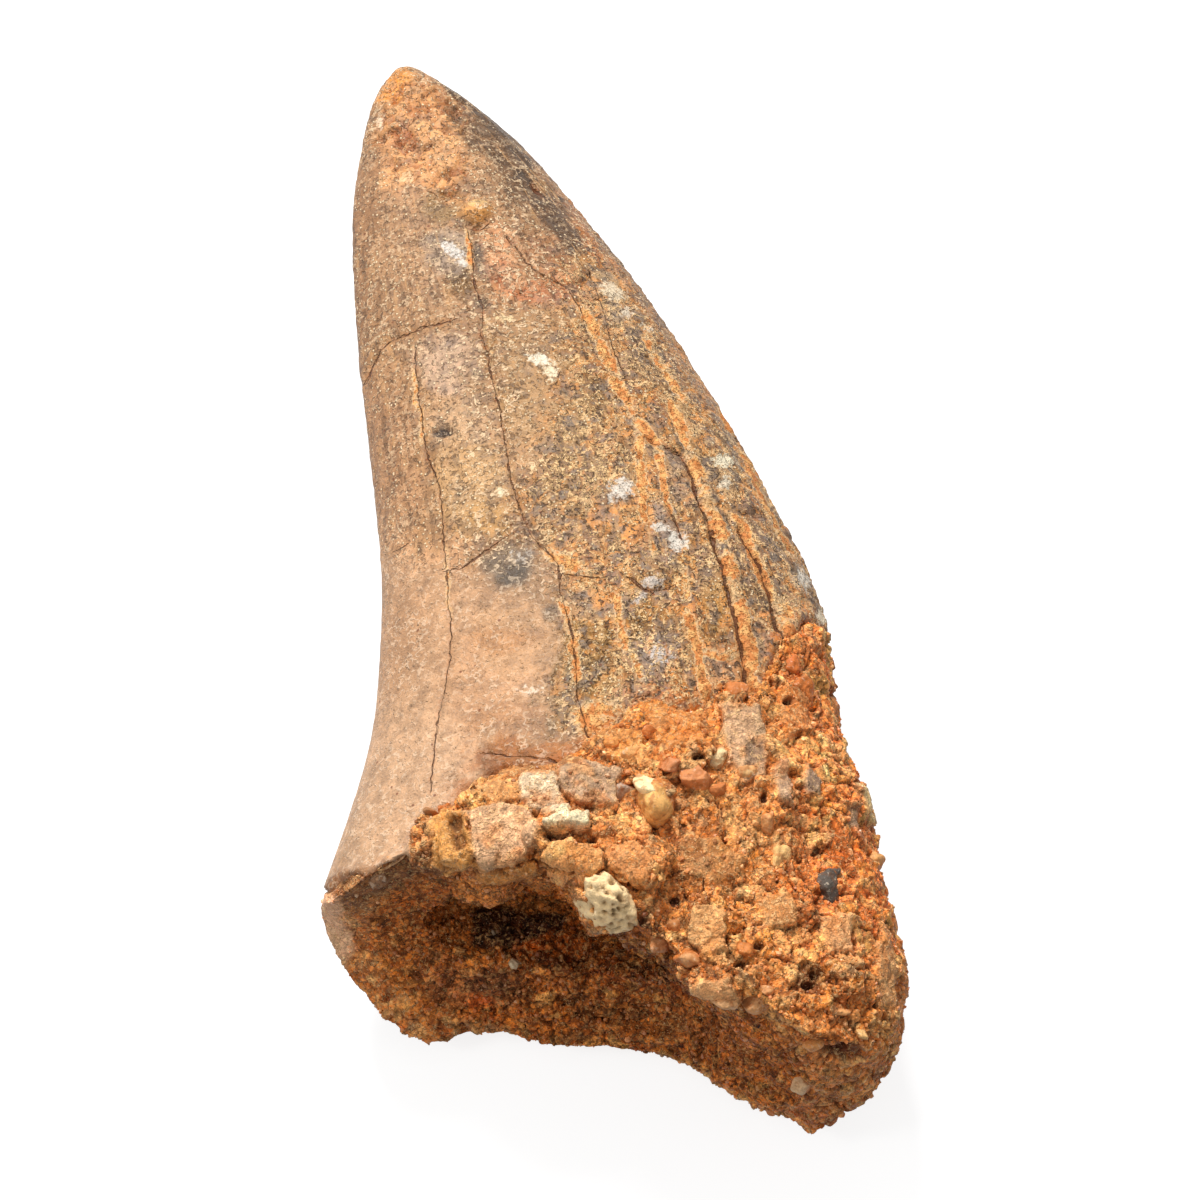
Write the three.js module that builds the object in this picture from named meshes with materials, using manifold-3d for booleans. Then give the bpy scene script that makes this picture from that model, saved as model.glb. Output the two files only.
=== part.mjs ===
// A fossil carcharodontosaurus tooth, lying on its side: a flattened, backward-leaning crown with two worn
// cutting edges, the snapped-off stump of the root with its open pulp hollow, and a crust of cemented sand
// and pebbles round the base. The tooth and its crust are one stone.
// Millimetres, +Z up. X runs across the blade, Y along it towards the tip, Z through its thickness.
import * as THREE from "three";
import { mergeVertices } from "three/addons/utils/BufferGeometryUtils.js";
import Module from "manifold-3d";

const wasm = await Module();
wasm.setup();

// Driving dimensions.
const TIP_Y = 49.2; // the tip, along the blade
const END_Y = -44; // where the uncut form ends, past the break
const HALF_THICKNESS_AT_BASE = 9.5;
const CRUST_THICKNESS = 1.3; // how far the cemented sand stands off the tooth
const EDGE_BEAD = 0.35; // the worn cutting edge stands this far off the blade
const RIM_HEIGHTS = [2.7, 17]; // heights of the break's lower and upper rim
const HOLLOW = { x: -4, y: -26, z: 10.2, across: 8.5, deep: 9.5, high: 3.2 }; // the pulp hollow
const BOWL = { x: -4, z: 9.6, across: 17, high: 7.6, deep: 3.0 }; // the dish in the broken face round it

// How finely the form is cut into faces.
const CRUST_LINE_MEAN = -13;
const AROUND = 60;
const ALONG = 54;
const FACE_STEP = 1.35;

// The blade from above, from the tip down: distance along, left edge, right edge.
const OUTLINE = [
  [49.2, -15.0, -15.0],
  [48.1, -16.2, -12.9],
  [46.0, -17.2, -10.3],
  [42.9, -17.8, -7.2],
  [36.2, -18.5, -2.2],
  [28.8, -18.4, 2.4],
  [21.5, -17.8, 6.3],
  [14.4, -17.0, 9.8],
  [7.5, -16.2, 12.9],
  [0.8, -15.7, 15.6],
  [-5.9, -15.8, 17.0],
  [-9.2, -16.0, 17.0],
  [-12.5, -16.5, 17.7],
  [-15.8, -17.3, 18.9],
  [-19.0, -18.2, 19.6],
  [-22.2, -19.1, 19.9],
  [-25.3, -19.7, 20.9],
  [-28.4, -19.1, 21.4],
  [-31.5, -17.2, 21.4],
  [-34.0, -14.6, 21.1],
  [-37.5, -9.5, 19.7],
  [-41.0, -3.0, 15.8],
  [-44.0, 4.0, 8.0],
];

// Half the thickness as a share of that at the base, and the clearance under the blade, at distances along it.
const THICKNESS = [
  [49.2, 0, 1.2],
  [48.6, 0.1, 0.6],
  [46.5, 0.18, 0.2],
  [42.5, 0.26, 0.0],
  [36.0, 0.36, -0.1],
  [27.0, 0.49, 0.2],
  [13.5, 0.66, 0.8],
  [0.0, 0.79, 1.1],
  [-10.0, 0.87, 0.9],
  [-20.0, 0.95, 0.65],
  [-31.0, 0.98, 0.6],
  [-44.0, 0.96, 1.6],
];

// The rims of the broken face from left to right: place across, lower rim's Y, upper rim's Y.
const RIMS = [
  [-22.0, -22.0, -23.0],
  [-19.2, -26.2, -25.4],
  [-17.0, -29.0, -24.6],
  [-14.0, -31.3, -24.1],
  [-11.0, -31.8, -24.7],
  [-7.5, -31.6, -26.3],
  [-3.5, -32.4, -26.2],
  [-1.0, -32.6, -27.9],
  [2.5, -32.5, -30.2],
  [5.0, -32.8, -31.8],
  [8.4, -34.6, -34.0],
  [11.5, -37.0, -36.1],
  [14.7, -38.7, -37.6],
  [17.0, -38.2, -37.8],
  [19.5, -36.4, -36.8],
  [22.5, -33.0, -34.0],
];

// Where the crust begins on the upper and lower sides: place across, then the Y under which it lies.
const CRUST_LINES = [
  [-22.0, -24.0, -20.0],
  [-14.0, -22.0, -17.0],
  [-10.5, -19.2, -15.5],
  [-5.0, -17.3, -13.5],
  [0.0, -14.0, -14.0],
  [3.0, -12.0, -12.5],
  [11.0, -10.8, -8.0],
  [12.5, -5.5, -5.5],
  [16.8, -1.1, -3.0],
  [22.0, 1.0, 0.0],
];

// Pebbles, slabs and lumps cemented into the crust: place, half sizes, turn in plan, how deep they sit as a
// share of their height, and how square they are (2 is a ball).
const LUMPS = [
  { x: -6.9, y: -22.7, size: [3.6, 3.2, 1.3], turn: -0.1, sunk: 0.2, square: 4 },
  { x: -11.6, y: -23.0, size: [1.9, 2.2, 1.3], turn: -0.3, sunk: 0.4, square: 2.4 },
  { x: 0.2, y: -24.4, size: [5.0, 2.2, 1.2], turn: -0.3, sunk: 0.1, square: 3.2 },
  { x: -3.2, y: -20.2, size: [3.0, 1.7, 0.9], turn: 0.1, sunk: 0.2, square: 3.5 },
  { x: 3.8, y: -20.1, size: [1.5, 2.3, 1.5], turn: 0.2, sunk: 0.35, square: 2.6 },
  { x: 0.4, y: -27.7, size: [2.3, 2.2, 1.9], turn: 0.4, sunk: 0.9, square: 3 },
  { x: 6.4, y: -17.0, size: [2.1, 1.4, 1.2], turn: 0.4, sunk: 0.45, square: 3.6 },
  { x: 7.3, y: -29.5, size: [2.0, 2.1, 1.2], turn: 0.1, sunk: 0.4, square: 2.8 },
  { x: 3.8, y: -30.4, size: [1.0, 1.0, 1.1], turn: 0.0, sunk: 0.6, square: 2 },
  { x: 8.0, y: -33.4, size: [3.4, 1.6, 1.7], turn: -0.3, sunk: 0.8, square: 2.4 },
  { x: 12.6, y: -27.3, size: [3.2, 2.4, 1.1], turn: -0.6, sunk: 0.6, square: 2.6 },
  { x: 15.4, y: -32.8, size: [3.2, 1.8, 1.4], turn: -0.1, sunk: 0.9, square: 2.6 },
  { x: 11.0, y: -21.0, size: [3.0, 2.0, 0.9], turn: 0.7, sunk: 0.5, square: 2.6 },
  { x: 9.4, y: -13.4, size: [1.9, 2.9, 0.7], turn: 0.1, sunk: 0.1, square: 3 },
];

// Smooth random relief between -1 and 1, with one bump about every unit.
const cornerValue = (i, j, k) => {
  const mixed = Math.sin(i * 127.1 + j * 311.7 + k * 74.7) * 43758.5453;
  return 2 * (mixed - Math.floor(mixed)) - 1;
};
function bumps(x, y, z) {
  const corner = [x, y, z].map(Math.floor);
  const ease = [x, y, z].map((value, axis) => THREE.MathUtils.smoothstep(value - corner[axis], 0, 1));
  let sum = 0;
  for (let n = 0; n < 8; n++) {
    const step = [n & 1, (n >> 1) & 1, n >> 2];
    const weight = step.reduce((product, s, axis) => product * (s ? ease[axis] : 1 - ease[axis]), 1);
    sum += weight * cornerValue(corner[0] + step[0], corner[1] + step[1], corner[2] + step[2]);
  }
  return sum;
}
const roughness = (p, size) =>
  bumps(p.x / size, p.y / size, p.z / size) + 0.5 * bumps(p.z / size + 9, (2 * p.x) / size, (2 * p.y) / size);

// A smooth curve through rows of numbers, read at any value of the first column.
function curveThrough(rows, key = (first) => first) {
  const width = rows[0].length - 1;
  const curve = new THREE.CubicInterpolant(
    rows.map((row) => key(row[0])),
    rows.flatMap((row) => row.slice(1)),
    width,
  );
  return (at) => Array.from(curve.evaluate(key(at)));
}
// Near a round tip a width grows with the square root of the distance from it, so the blade is read by that.
const fromTip = (y) => Math.sqrt(Math.max(TIP_Y - y, 0));
const outlineAt = curveThrough(OUTLINE, fromTip);
const thicknessAt = curveThrough(THICKNESS, fromTip);
const rimsAt = curveThrough(RIMS);
const crustLineAt = curveThrough(CRUST_LINES);

// How thick the crust is at a place in plan; up runs from -1 on the lower side to 1 on the upper side.
function crustAt(x, y, up) {
  const [upper, lower] = crustLineAt(x);
  const line = THREE.MathUtils.lerp(lower, upper, THREE.MathUtils.smoothstep(up, -0.4, 0.4));
  const ragged = 1.2 * bumps(x / 3, y / 3, 2 * up);
  return CRUST_THICKNESS * THREE.MathUtils.smoothstep(line + ragged - y, -0.4, 1.6);
}

// A point of the blade's skin at a distance along it and a turn about its length, before the break.
function skinPoint(y, turn) {
  const [left, right] = outlineAt(y);
  const [share, clearance] = thicknessAt(y);
  const across = Math.cos(turn);
  const up = Math.sin(turn);
  const half = share * HALF_THICKNESS_AT_BASE;
  const inCrown = THREE.MathUtils.smoothstep(y, -20, 5);
  const lens = Math.sign(up) * Math.abs(up) ** (0.95 + 0.3 * inCrown);
  const point = new THREE.Vector3((left + right) / 2 + ((right - left) / 2) * across, y, clearance + half * (1 + lens));
  const crust = crustAt(point.x, y, up);
  const outward = new THREE.Vector3(across * half, 0, up * (right - left) * 0.5 || 1e-9).normalize();
  const wavy = 0.1 * roughness(point, 9) * THREE.MathUtils.smoothstep(TIP_Y - y, 0.5, 6);
  const lumpy = (crust / CRUST_THICKNESS) * (0.5 * roughness(point, 4.6) + 0.25 * roughness(point, 2.1));
  const beadShare = Math.max(0, 1 - Math.abs(turn) / 0.12) * THREE.MathUtils.smoothstep(TIP_Y - y, 3, 9);
  const bead = EDGE_BEAD * inCrown * beadShare;
  point.addScaledVector(outward, wavy + lumpy * (0.35 + 0.65 * Math.abs(up)) + bead);
  point.z += Math.sign(up) * crust * Math.min(1, Math.abs(up) * 1.6);
  return point;
}

// Turns a geometry into a solid that booleans can work on, and back.
function toSolid(geometry) {
  geometry.deleteAttribute("normal");
  geometry.deleteAttribute("uv");
  const merged = mergeVertices(geometry, 1e-4);
  return new wasm.Manifold(
    new wasm.Mesh({
      numProp: 3,
      vertProperties: merged.getAttribute("position").array,
      triVerts: new Uint32Array(merged.index.array),
    }),
  );
}
function toGeometry(solid) {
  const { vertProperties, triVerts } = solid.getMesh();
  const geometry = new THREE.BufferGeometry()
    .setAttribute("position", new THREE.BufferAttribute(vertProperties, 3))
    .setIndex(new THREE.BufferAttribute(triVerts, 1));
  geometry.computeVertexNormals();
  return geometry;
}
// Moves each vertex of a geometry to where a function sends it.
function reshape(geometry, place) {
  const positions = geometry.getAttribute("position");
  const point = new THREE.Vector3();
  for (let i = 0; i < positions.count; i++) {
    const { x, y, z } = place(point.fromBufferAttribute(positions, i));
    positions.setXYZ(i, x, y, z);
  }
  return geometry;
}

// The whole blade, crown and root, with its crust: a ball whose rings are slid out along the tooth.
function makeBlade() {
  const length = TIP_Y - END_Y;
  const ramp = THREE.MathUtils.smoothstep;
  return reshape(new THREE.SphereGeometry(1, AROUND, ALONG), (p) => {
    const share = Math.acos(THREE.MathUtils.clamp(p.y, -1, 1)) / Math.PI;
    const level = TIP_Y - length * share * (1 - Math.exp(-share / 0.05));
    // The rings of faces lean over to run along the edge of the crust.
    const across = p.x / Math.max(Math.hypot(p.x, p.z), 1e-9);
    const lean = crustLineAt(1 + 18 * across)[0] - CRUST_LINE_MEAN;
    const y = level + lean * (1 - ramp(level, -12, 30)) * ramp(level, -36, -16);
    const turn = Math.abs(p.z) < 1e-9 && p.x > -1e-9 ? 0 : Math.atan2(p.z, p.x);
    if (share > 0.9999) return new THREE.Vector3(6, END_Y, 9);
    return skinPoint(y, turn);
  });
}

// What the break took away: everything below the uneven broken face, with the dish round the hollow.
function makeBreak() {
  const [width, height] = [54, 34];
  const block = new THREE.BoxGeometry(width, 10, height, Math.round(width / FACE_STEP), 1, Math.round(height / FACE_STEP));
  return reshape(block, (p) => {
    const z = p.z + RIM_HEIGHTS[1] / 2;
    if (p.y < 0) return new THREE.Vector3(p.x, END_Y - 20, z);
    const [lower, upper] = rimsAt(THREE.MathUtils.clamp(p.x, RIMS[0][0], RIMS.at(-1)[0]));
    const rise = (z - RIM_HEIGHTS[0]) / (RIM_HEIGHTS[1] - RIM_HEIGHTS[0]);
    const fromBowl = ((p.x - BOWL.x) / BOWL.across) ** 2 + ((z - BOWL.z) / BOWL.high) ** 2;
    const dish = BOWL.deep * Math.max(0, 1 - fromBowl);
    const undercut = 0.55 * Math.max(0, RIM_HEIGHTS[0] - z);
    const face = THREE.MathUtils.lerp(lower, upper, THREE.MathUtils.clamp(rise, 0, 1.3)) + dish + undercut;
    const rough = roughness(new THREE.Vector3(p.x, 3, z), 3.4);
    return new THREE.Vector3(p.x, face + 0.35 * rough, z);
  });
}

// A stone or a pocket: a ball made squarer and uneven, stretched and turned.
function makeKnob([across, along, high], { turn = 0, detail = 2, uneven = 0.12, square = 2, seed = 0 }) {
  const offset = new THREE.Vector3(seed, seed * 1.7, seed * 2.3);
  const ball = reshape(new THREE.IcosahedronGeometry(1, detail), (p) => {
    const sum = Math.abs(p.x) ** square + Math.abs(p.y) ** square + Math.abs(p.z) ** square;
    const reach = sum ** (-1 / square) * (1 + uneven * roughness(p.clone().add(offset), 0.8));
    return p.clone().multiplyScalar(reach);
  });
  return ball.scale(across, along, high).rotateZ(turn);
}

function makeHollow() {
  const { x, y, z, across, deep, high } = HOLLOW;
  return makeKnob([across, deep, high], { turn: -0.12, detail: 4, uneven: 0.05, seed: 3 }).translate(x, y, z);
}

// The height of the blade's upper side over a place in plan.
function topAt(x, y) {
  const [left, right] = outlineAt(y);
  const turn = Math.acos(THREE.MathUtils.clamp((2 * x - left - right) / (right - left), -0.98, 0.98));
  return skinPoint(y, turn).z;
}

function makeLumps() {
  return LUMPS.map(({ x, y, size, turn, sunk, square }, index) => {
    const knob = makeKnob(size, { turn, uneven: 0.16, square, seed: 11 * index });
    return knob.translate(x, y, topAt(x, y) - sunk * size[2]);
  });
}

function makeTooth() {
  const ground = new THREE.BoxGeometry(200, 200, 20).translate(0, 0, -10);
  let tooth = toSolid(makeBlade()).subtract(toSolid(makeBreak()));
  for (const lump of makeLumps()) tooth = tooth.add(toSolid(lump));
  tooth = tooth.subtract(toSolid(makeHollow())).subtract(toSolid(ground));
  const geometry = toGeometry(tooth);
  geometry.computeBoundingBox();
  const middle = geometry.boundingBox.getCenter(new THREE.Vector3());
  return geometry.translate(-middle.x, -middle.y, 0);
}

const stone = new THREE.MeshStandardMaterial({ color: "#b08a60", roughness: 0.7, metalness: 0 });
const tooth = new THREE.Mesh(makeTooth(), stone);
tooth.name = "tooth";

const part = new THREE.Group();
part.add(tooth);

export default part;
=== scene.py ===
"""A fossil carcharodontosaurus tooth lying on a pale table: a worn crown of enamel and dentine, the broken
root with its pulp hollow, and the crust of cemented sand and pebbles round it. Work is done in millimetres,
in a plan whose origin lies under the point that the camera looks at. The pieces are put back in the row
frame, in metres."""
import copy
import math

import bmesh
import bpy
import numpy as np
from mathutils import Matrix, Vector


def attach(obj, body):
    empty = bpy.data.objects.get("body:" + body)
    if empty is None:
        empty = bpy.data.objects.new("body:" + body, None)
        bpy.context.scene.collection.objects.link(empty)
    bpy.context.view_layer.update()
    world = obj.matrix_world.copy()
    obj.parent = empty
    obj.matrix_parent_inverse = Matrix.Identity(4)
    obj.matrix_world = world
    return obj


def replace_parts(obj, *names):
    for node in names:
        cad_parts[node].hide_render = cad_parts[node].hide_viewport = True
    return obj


MM = 0.001
PLAN_SHIFT = np.array([0.8, 5.2, 0.0])  # from the row frame to the plan

# The camera of the photograph: a long lens looking down on the tooth from the side of the broken root.
PHOTO_SIZE = 1200
PHOTO_MIDDLE = PHOTO_SIZE / 2
ELEVATION = math.radians(64)
LENS_MM, SENSOR_MM = 180, 36
HALF_VIEW = SENSOR_MM / LENS_MM / 2
CAMERA_DISTANCE = 432.0
CAMERA_AIM = np.array([0.0, 0.0, 9.0])
VIEW_RIGHT = np.array([1.0, 0.0, 0.0])
VIEW_UP = np.array([0.0, math.sin(ELEVATION), math.cos(ELEVATION)])
VIEW_AHEAD = np.array([0.0, math.cos(ELEVATION), -math.sin(ELEVATION)])
CAMERA_PLACE = CAMERA_AIM - CAMERA_DISTANCE * VIEW_AHEAD
PIXEL_MM = 0.072  # what a pixel of the photograph spans on the tooth

# The form of the solid that the skin of the scene has to agree with.
TIP_Y = 49.2
HALF_THICKNESS_AT_BASE = 9.5
CRUST_THICKNESS = 1.3
THICKNESS = np.array(
    [
        [49.2, 0, 1.2],
        [46.5, 0.18, 0.2],
        [42.5, 0.26, 0.0],
        [36.0, 0.36, -0.1],
        [27.0, 0.49, 0.2],
        [13.5, 0.66, 0.8],
        [0.0, 0.79, 1.1],
        [-10.0, 0.87, 0.9],
        [-20.0, 0.95, 0.65],
        [-31.0, 0.98, 0.6],
        [-44.0, 0.96, 1.6],
    ]
)
CRUST_LINES = np.array(
    [
        [-22.0, -24.0, -20.0],
        [-14.0, -22.0, -17.0],
        [-10.5, -19.2, -15.5],
        [-5.0, -17.3, -13.5],
        [0.0, -14.0, -14.0],
        [3.0, -12.0, -12.5],
        [11.0, -10.8, -8.0],
        [12.5, -5.5, -5.5],
        [16.8, -1.1, -3.0],
        [22.0, 1.0, 0.0],
    ]
)

OUTLINE = np.array(
    [
        [49.2, -15.0, -15.0],
        [46.0, -17.2, -10.3],
        [36.2, -18.5, -2.2],
        [21.5, -17.8, 6.3],
        [7.5, -16.2, 12.9],
        [-5.9, -15.8, 17.0],
        [-19.0, -18.2, 19.6],
        [-28.4, -19.1, 21.4],
        [-34.0, -14.6, 21.1],
        [-44.0, 4.0, 8.0],
    ]
)  # distance along it, left and right edge

# How finely the skin is made, in mm, and how many rounds of smoothing take out the solid's facets.
CROWN_VOXEL = 0.235
CRUST_VOXEL = 0.145
CROWN_SMOOTHING = 44
CRUST_SMOOTHING = 9
HOLLOW_SMOOTHING = 7

# Heights and depths of the relief, in mm.
CRACK_DEPTH = 0.34
CRACK_HALF_WIDTH = 0.2
KNOB_RISE = 0.62
KNOB_CREASE_DEPTH = 0.25
CHIP_DEPTH = 0.3
TIP_PIT_DEPTH = 0.26
HOLE_DEPTH = 0.6
CROWN_SINK = CRUST_THICKNESS + 0.45
CRUST_EDGE_SINK = 0.95
BARE_SINK = 0.6

# Stones and grains: how many, and the radius of a grain in mm, smallest and how much larger.
FAR_STONES = 36
GRAINS_A_REGION = 2400
GRAIN_RADIUS, GRAIN_SPREAD = 0.07, 0.16
SEED = 20

# The stage, in metres and watts: each light's place, size and power.
TABLE_HALF = 1.5
LIGHTS = {"key": ((-0.13, 0.44, 0.5), 0.2, 5.3), "fill": ((-0.42, -0.12, 0.4), 0.12, 0.5)}
LIGHT_AIM = (0, 0, 0.008)

# Colours, as a screen shows them.
DENTINE = (226, 184, 150)
TIP_ORANGE = (236, 170, 92)
PEACH = (224, 170, 128)
CREAM = (238, 212, 170)
LILAC = (166, 144, 130)
GREY = (128, 110, 94)
SLATE = (98, 86, 76)
OLIVE = (140, 108, 60)
OCHRE = (168, 112, 44)
AMBER = (224, 152, 76)
RUST = (186, 116, 58)
RUST_DEEP = (140, 74, 30)
SAND = (212, 150, 98)
BROWN = (128, 78, 42)
PORE_CREAM = (240, 214, 172)
SLATE_STONE = (82, 74, 70)


def linear(colour):
    """A screen colour from 0 to 255 as the linear light that Blender mixes."""
    c = np.asarray(colour, float) / 255
    return np.where(c <= 0.04045, c / 12.92, ((c + 0.055) / 1.055) ** 2.4)


def ramp(x, low, high):
    """0 below low, 1 above high and smooth between."""
    t = np.clip((x - low) / (high - low), 0, 1)
    return t * t * (3 - 2 * t)


def blend(a, b, share):
    """From a to b, by a share from 0 to 1."""
    return a + (b - a) * share


def laid(tint, colour, share):
    """A screen colour laid over each point's own colour, as thickly as its share says."""
    return blend(tint, linear(colour), share[:, None])


# Noise.


def hashed(i, j, k, seed):
    """A random number from 0 to 1 for each corner of a grid."""
    n = (i * 374761393 + j * 668265263 + k * 1103515245 + seed * 974634777) & 0xFFFFFFFF
    n = ((n ^ (n >> 13)) * 1274126177) & 0xFFFFFFFF
    n = ((n ^ (n >> 16)) * 1103515245) & 0xFFFFFFFF
    return ((n ^ (n >> 15)) & 0xFFFFFF) / 0xFFFFFF


def between_corners(q, value):
    """The value of each corner of the grid round the points, blended smoothly from corner to corner."""
    low = np.floor(q)
    f = q - low
    f = f * f * (3 - 2 * f)
    total = np.zeros(len(q))
    for n in range(8):
        step = (n & 1, n >> 1 & 1, n >> 2)
        weight = np.prod([f[:, a] if s else 1 - f[:, a] for a, s in enumerate(step)], axis=0)
        total += weight * value(low + step)
    return total


def noise(points, size, seed):
    """Smooth noise between -1 and 1 with one bump about every size millimetres."""
    return 2 * between_corners(points / size, lambda corner: hashed(*corner.astype(np.int64).T, seed)) - 1


def rough(points, size, seed, octaves=3):
    """Noise with finer noise on it."""
    layers = [noise(points, size / 2**n, seed + n) * 0.55**n for n in range(octaves)]
    return sum(layers) / sum(0.55**n for n in range(octaves)) * 1.4


def noises(points, size, seeds, kind=noise):
    """One noise to an axis, to push places about by."""
    return np.stack([kind(points, size, seed) for seed in seeds], axis=1)


def cells(points, size, seed):
    """For scattered centres about size apart: the distance to the nearest and to the next one, as shares of
    size, the nearest one's own random number, and how high its tilted facet stands, from about -1 to 1."""
    q = points / size
    low = np.floor(q).astype(np.int64)
    first = np.full(len(points), 9.0)
    second = first.copy()
    nearest = low.copy()
    away = np.zeros_like(q)
    for n in range(27):
        corner = low + np.array([n % 3 - 1, n // 3 % 3 - 1, n // 9 - 1])
        offset = q - corner - np.stack([hashed(*corner.T, seed + a) for a in range(3)], axis=1)
        distance = np.linalg.norm(offset, axis=1)
        nearer = distance < first
        second = np.where(nearer, first, np.minimum(second, distance))
        first = np.minimum(first, distance)
        nearest = np.where(nearer[:, None], corner, nearest)
        away = np.where(nearer[:, None], offset, away)
    own = hashed(*nearest.T, seed + 3)
    tilt = np.stack([hashed(*nearest.T, seed + a) for a in (4, 5, 6)], axis=1) * 2 - 1
    return first, second, own, own - 0.5 + (away * tilt).sum(axis=1)


def solid_bumps(points):
    """The relief of the solid's own making, repeated so that the crust's edge falls in the same place."""

    def value(corner):
        mixed = np.sin(corner @ np.array([127.1, 311.7, 74.7])) * 43758.5453
        return 2 * (mixed - np.floor(mixed)) - 1

    return between_corners(points, value)


# The form.


def thickness_at(y):
    """Half the blade's thickness and the height of its middle at distances along it."""
    key = np.sqrt(np.clip(TIP_Y - y, 0, None))
    keys = np.sqrt(TIP_Y - THICKNESS[:, 0])
    half = np.interp(key, keys, THICKNESS[:, 1]) * HALF_THICKNESS_AT_BASE
    return half, np.interp(key, keys, THICKNESS[:, 2]) + half


def edges_at(y):
    """The blade's left and right edge at distances along it."""
    return [np.interp(-y, -OUTLINE[:, 0], OUTLINE[:, side]) for side in (1, 2)]


def crust_cover(points, grown=0.0):
    """How far a point is inside the crust, or inside one grown by some millimetres, from 0 outside to 1."""
    half, middle = thickness_at(points[:, 1])
    up = np.clip((points[:, 2] - middle) / np.maximum(half, 0.3), -1, 1)
    upper = np.interp(points[:, 0], CRUST_LINES[:, 0], CRUST_LINES[:, 1])
    lower = np.interp(points[:, 0], CRUST_LINES[:, 0], CRUST_LINES[:, 2])
    line = blend(lower, upper, ramp(up, -0.4, 0.4))
    ragged = 1.2 * solid_bumps(np.stack([points[:, 0] / 3, points[:, 1] / 3, 2 * up], axis=1))
    return ramp(line + ragged + grown - points[:, 1], -0.4, 1.6)


def photo_place(points):
    """Where points of the plan fall in the photograph, in its pixels."""
    ray = points - CAMERA_PLACE
    depth = ray @ VIEW_AHEAD
    across = PHOTO_MIDDLE * (1 + (ray @ VIEW_RIGHT) / depth / HALF_VIEW)
    down = PHOTO_MIDDLE * (1 - (ray @ VIEW_UP) / depth / HALF_VIEW)
    return np.stack([across, down], axis=1)


def marked_place(points, normal):
    """Photo places for the whole skin. The hidden side takes those of the near side, folded over."""
    middle = thickness_at(points[:, 1])[1]
    below = np.maximum(middle - points[:, 2], 0)
    folded = points.copy()
    folded[:, 2] = middle + np.abs(points[:, 2] - middle)
    drift = ramp(below, 0.5, 4.0)[:, None]
    hidden = photo_place(folded) + drift * (42 * noises(points, 14, (71, 72)) + np.array([26.0, -34.0]))
    return blend(hidden, photo_place(points), ramp(normal @ -VIEW_AHEAD, -0.1, 0.1)[:, None])


class Skin:
    """A surface of quads in the plan."""

    def __init__(self, points, faces):
        self.points, self.faces = points, faces
        corners = np.concatenate([faces[:, [n, (n + 1) % 4]] for n in range(4)])
        self.edges = np.unique(np.sort(corners, axis=1), axis=0)
        a, b = self.edges.T
        self.ends = np.concatenate([a, b])
        self.others = np.concatenate([b, a])
        self.count = np.maximum(np.bincount(self.ends, minlength=len(points)), 1)

    def averaged(self, values):
        """Each vertex's mean of its neighbours' values."""
        if values.ndim == 1:
            return np.bincount(self.ends, values[self.others], len(self.points)) / self.count
        return np.stack([self.averaged(column) for column in values.T], axis=1)

    def smooth(self, rounds, share=1.0):
        """Takes out facets without shrinking the form. share is how much of it each vertex gets."""
        share = np.broadcast_to(share, len(self.points))[:, None]
        for _ in range(rounds):
            for push in (0.6, -0.63):
                self.points = self.points + push * share * (self.averaged(self.points) - self.points)

    def normals(self):
        p = self.points[self.faces]
        across = np.cross(p[:, 2] - p[:, 0], p[:, 3] - p[:, 1])
        count = len(self.points)
        parts = [sum(np.bincount(corner, part, count) for corner in self.faces.T) for part in across.T]
        total = np.stack(parts, axis=1)
        return total / np.maximum(np.linalg.norm(total, axis=1), 1e-12)[:, None]

    def kept(self, keep):
        """The largest connected part of the faces whose corners are all kept."""
        faces = self.faces[keep[self.faces].all(axis=1)]
        label = np.arange(len(self.points))
        a, b = self.edges[keep[self.edges].all(axis=1)].T
        while True:
            lowest = label.copy()
            np.minimum.at(lowest, a, label[b])
            np.minimum.at(lowest, b, label[a])
            lowest = lowest[lowest]
            if (lowest == label).all():
                break
            label = lowest
        usual = np.bincount(label[faces[:, 0]]).argmax()
        faces = faces[label[faces[:, 0]] == usual]
        used, places = np.unique(faces, return_inverse=True)
        return Skin(self.points[used], places.reshape(faces.shape))


def placed(name, data):
    """A new object of the scene."""
    thing = bpy.data.objects.new(name, data)
    bpy.context.scene.collection.objects.link(thing)
    return thing


def remeshed(node, voxel):
    """The solid's surface as even quads."""
    mesh = node.data.copy()
    mesh.transform(Matrix.Scale(1 / MM, 4))
    work = placed("work", mesh)
    even = work.modifiers.new("even", "REMESH")
    even.mode = "VOXEL"
    even.voxel_size = voxel
    seen = work.evaluated_get(bpy.context.evaluated_depsgraph_get())
    result = bpy.data.meshes.new_from_object(seen)
    points = np.empty(len(result.vertices) * 3)
    result.vertices.foreach_get("co", points)
    corners = np.empty(len(result.loops), np.int64)
    result.loops.foreach_get("vertex_index", corners)
    bpy.data.objects.remove(work)
    bpy.data.meshes.remove(result)
    bpy.data.meshes.remove(mesh)
    return Skin(points.reshape(-1, 3) + PLAN_SHIFT, corners.reshape(-1, 4))


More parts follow.
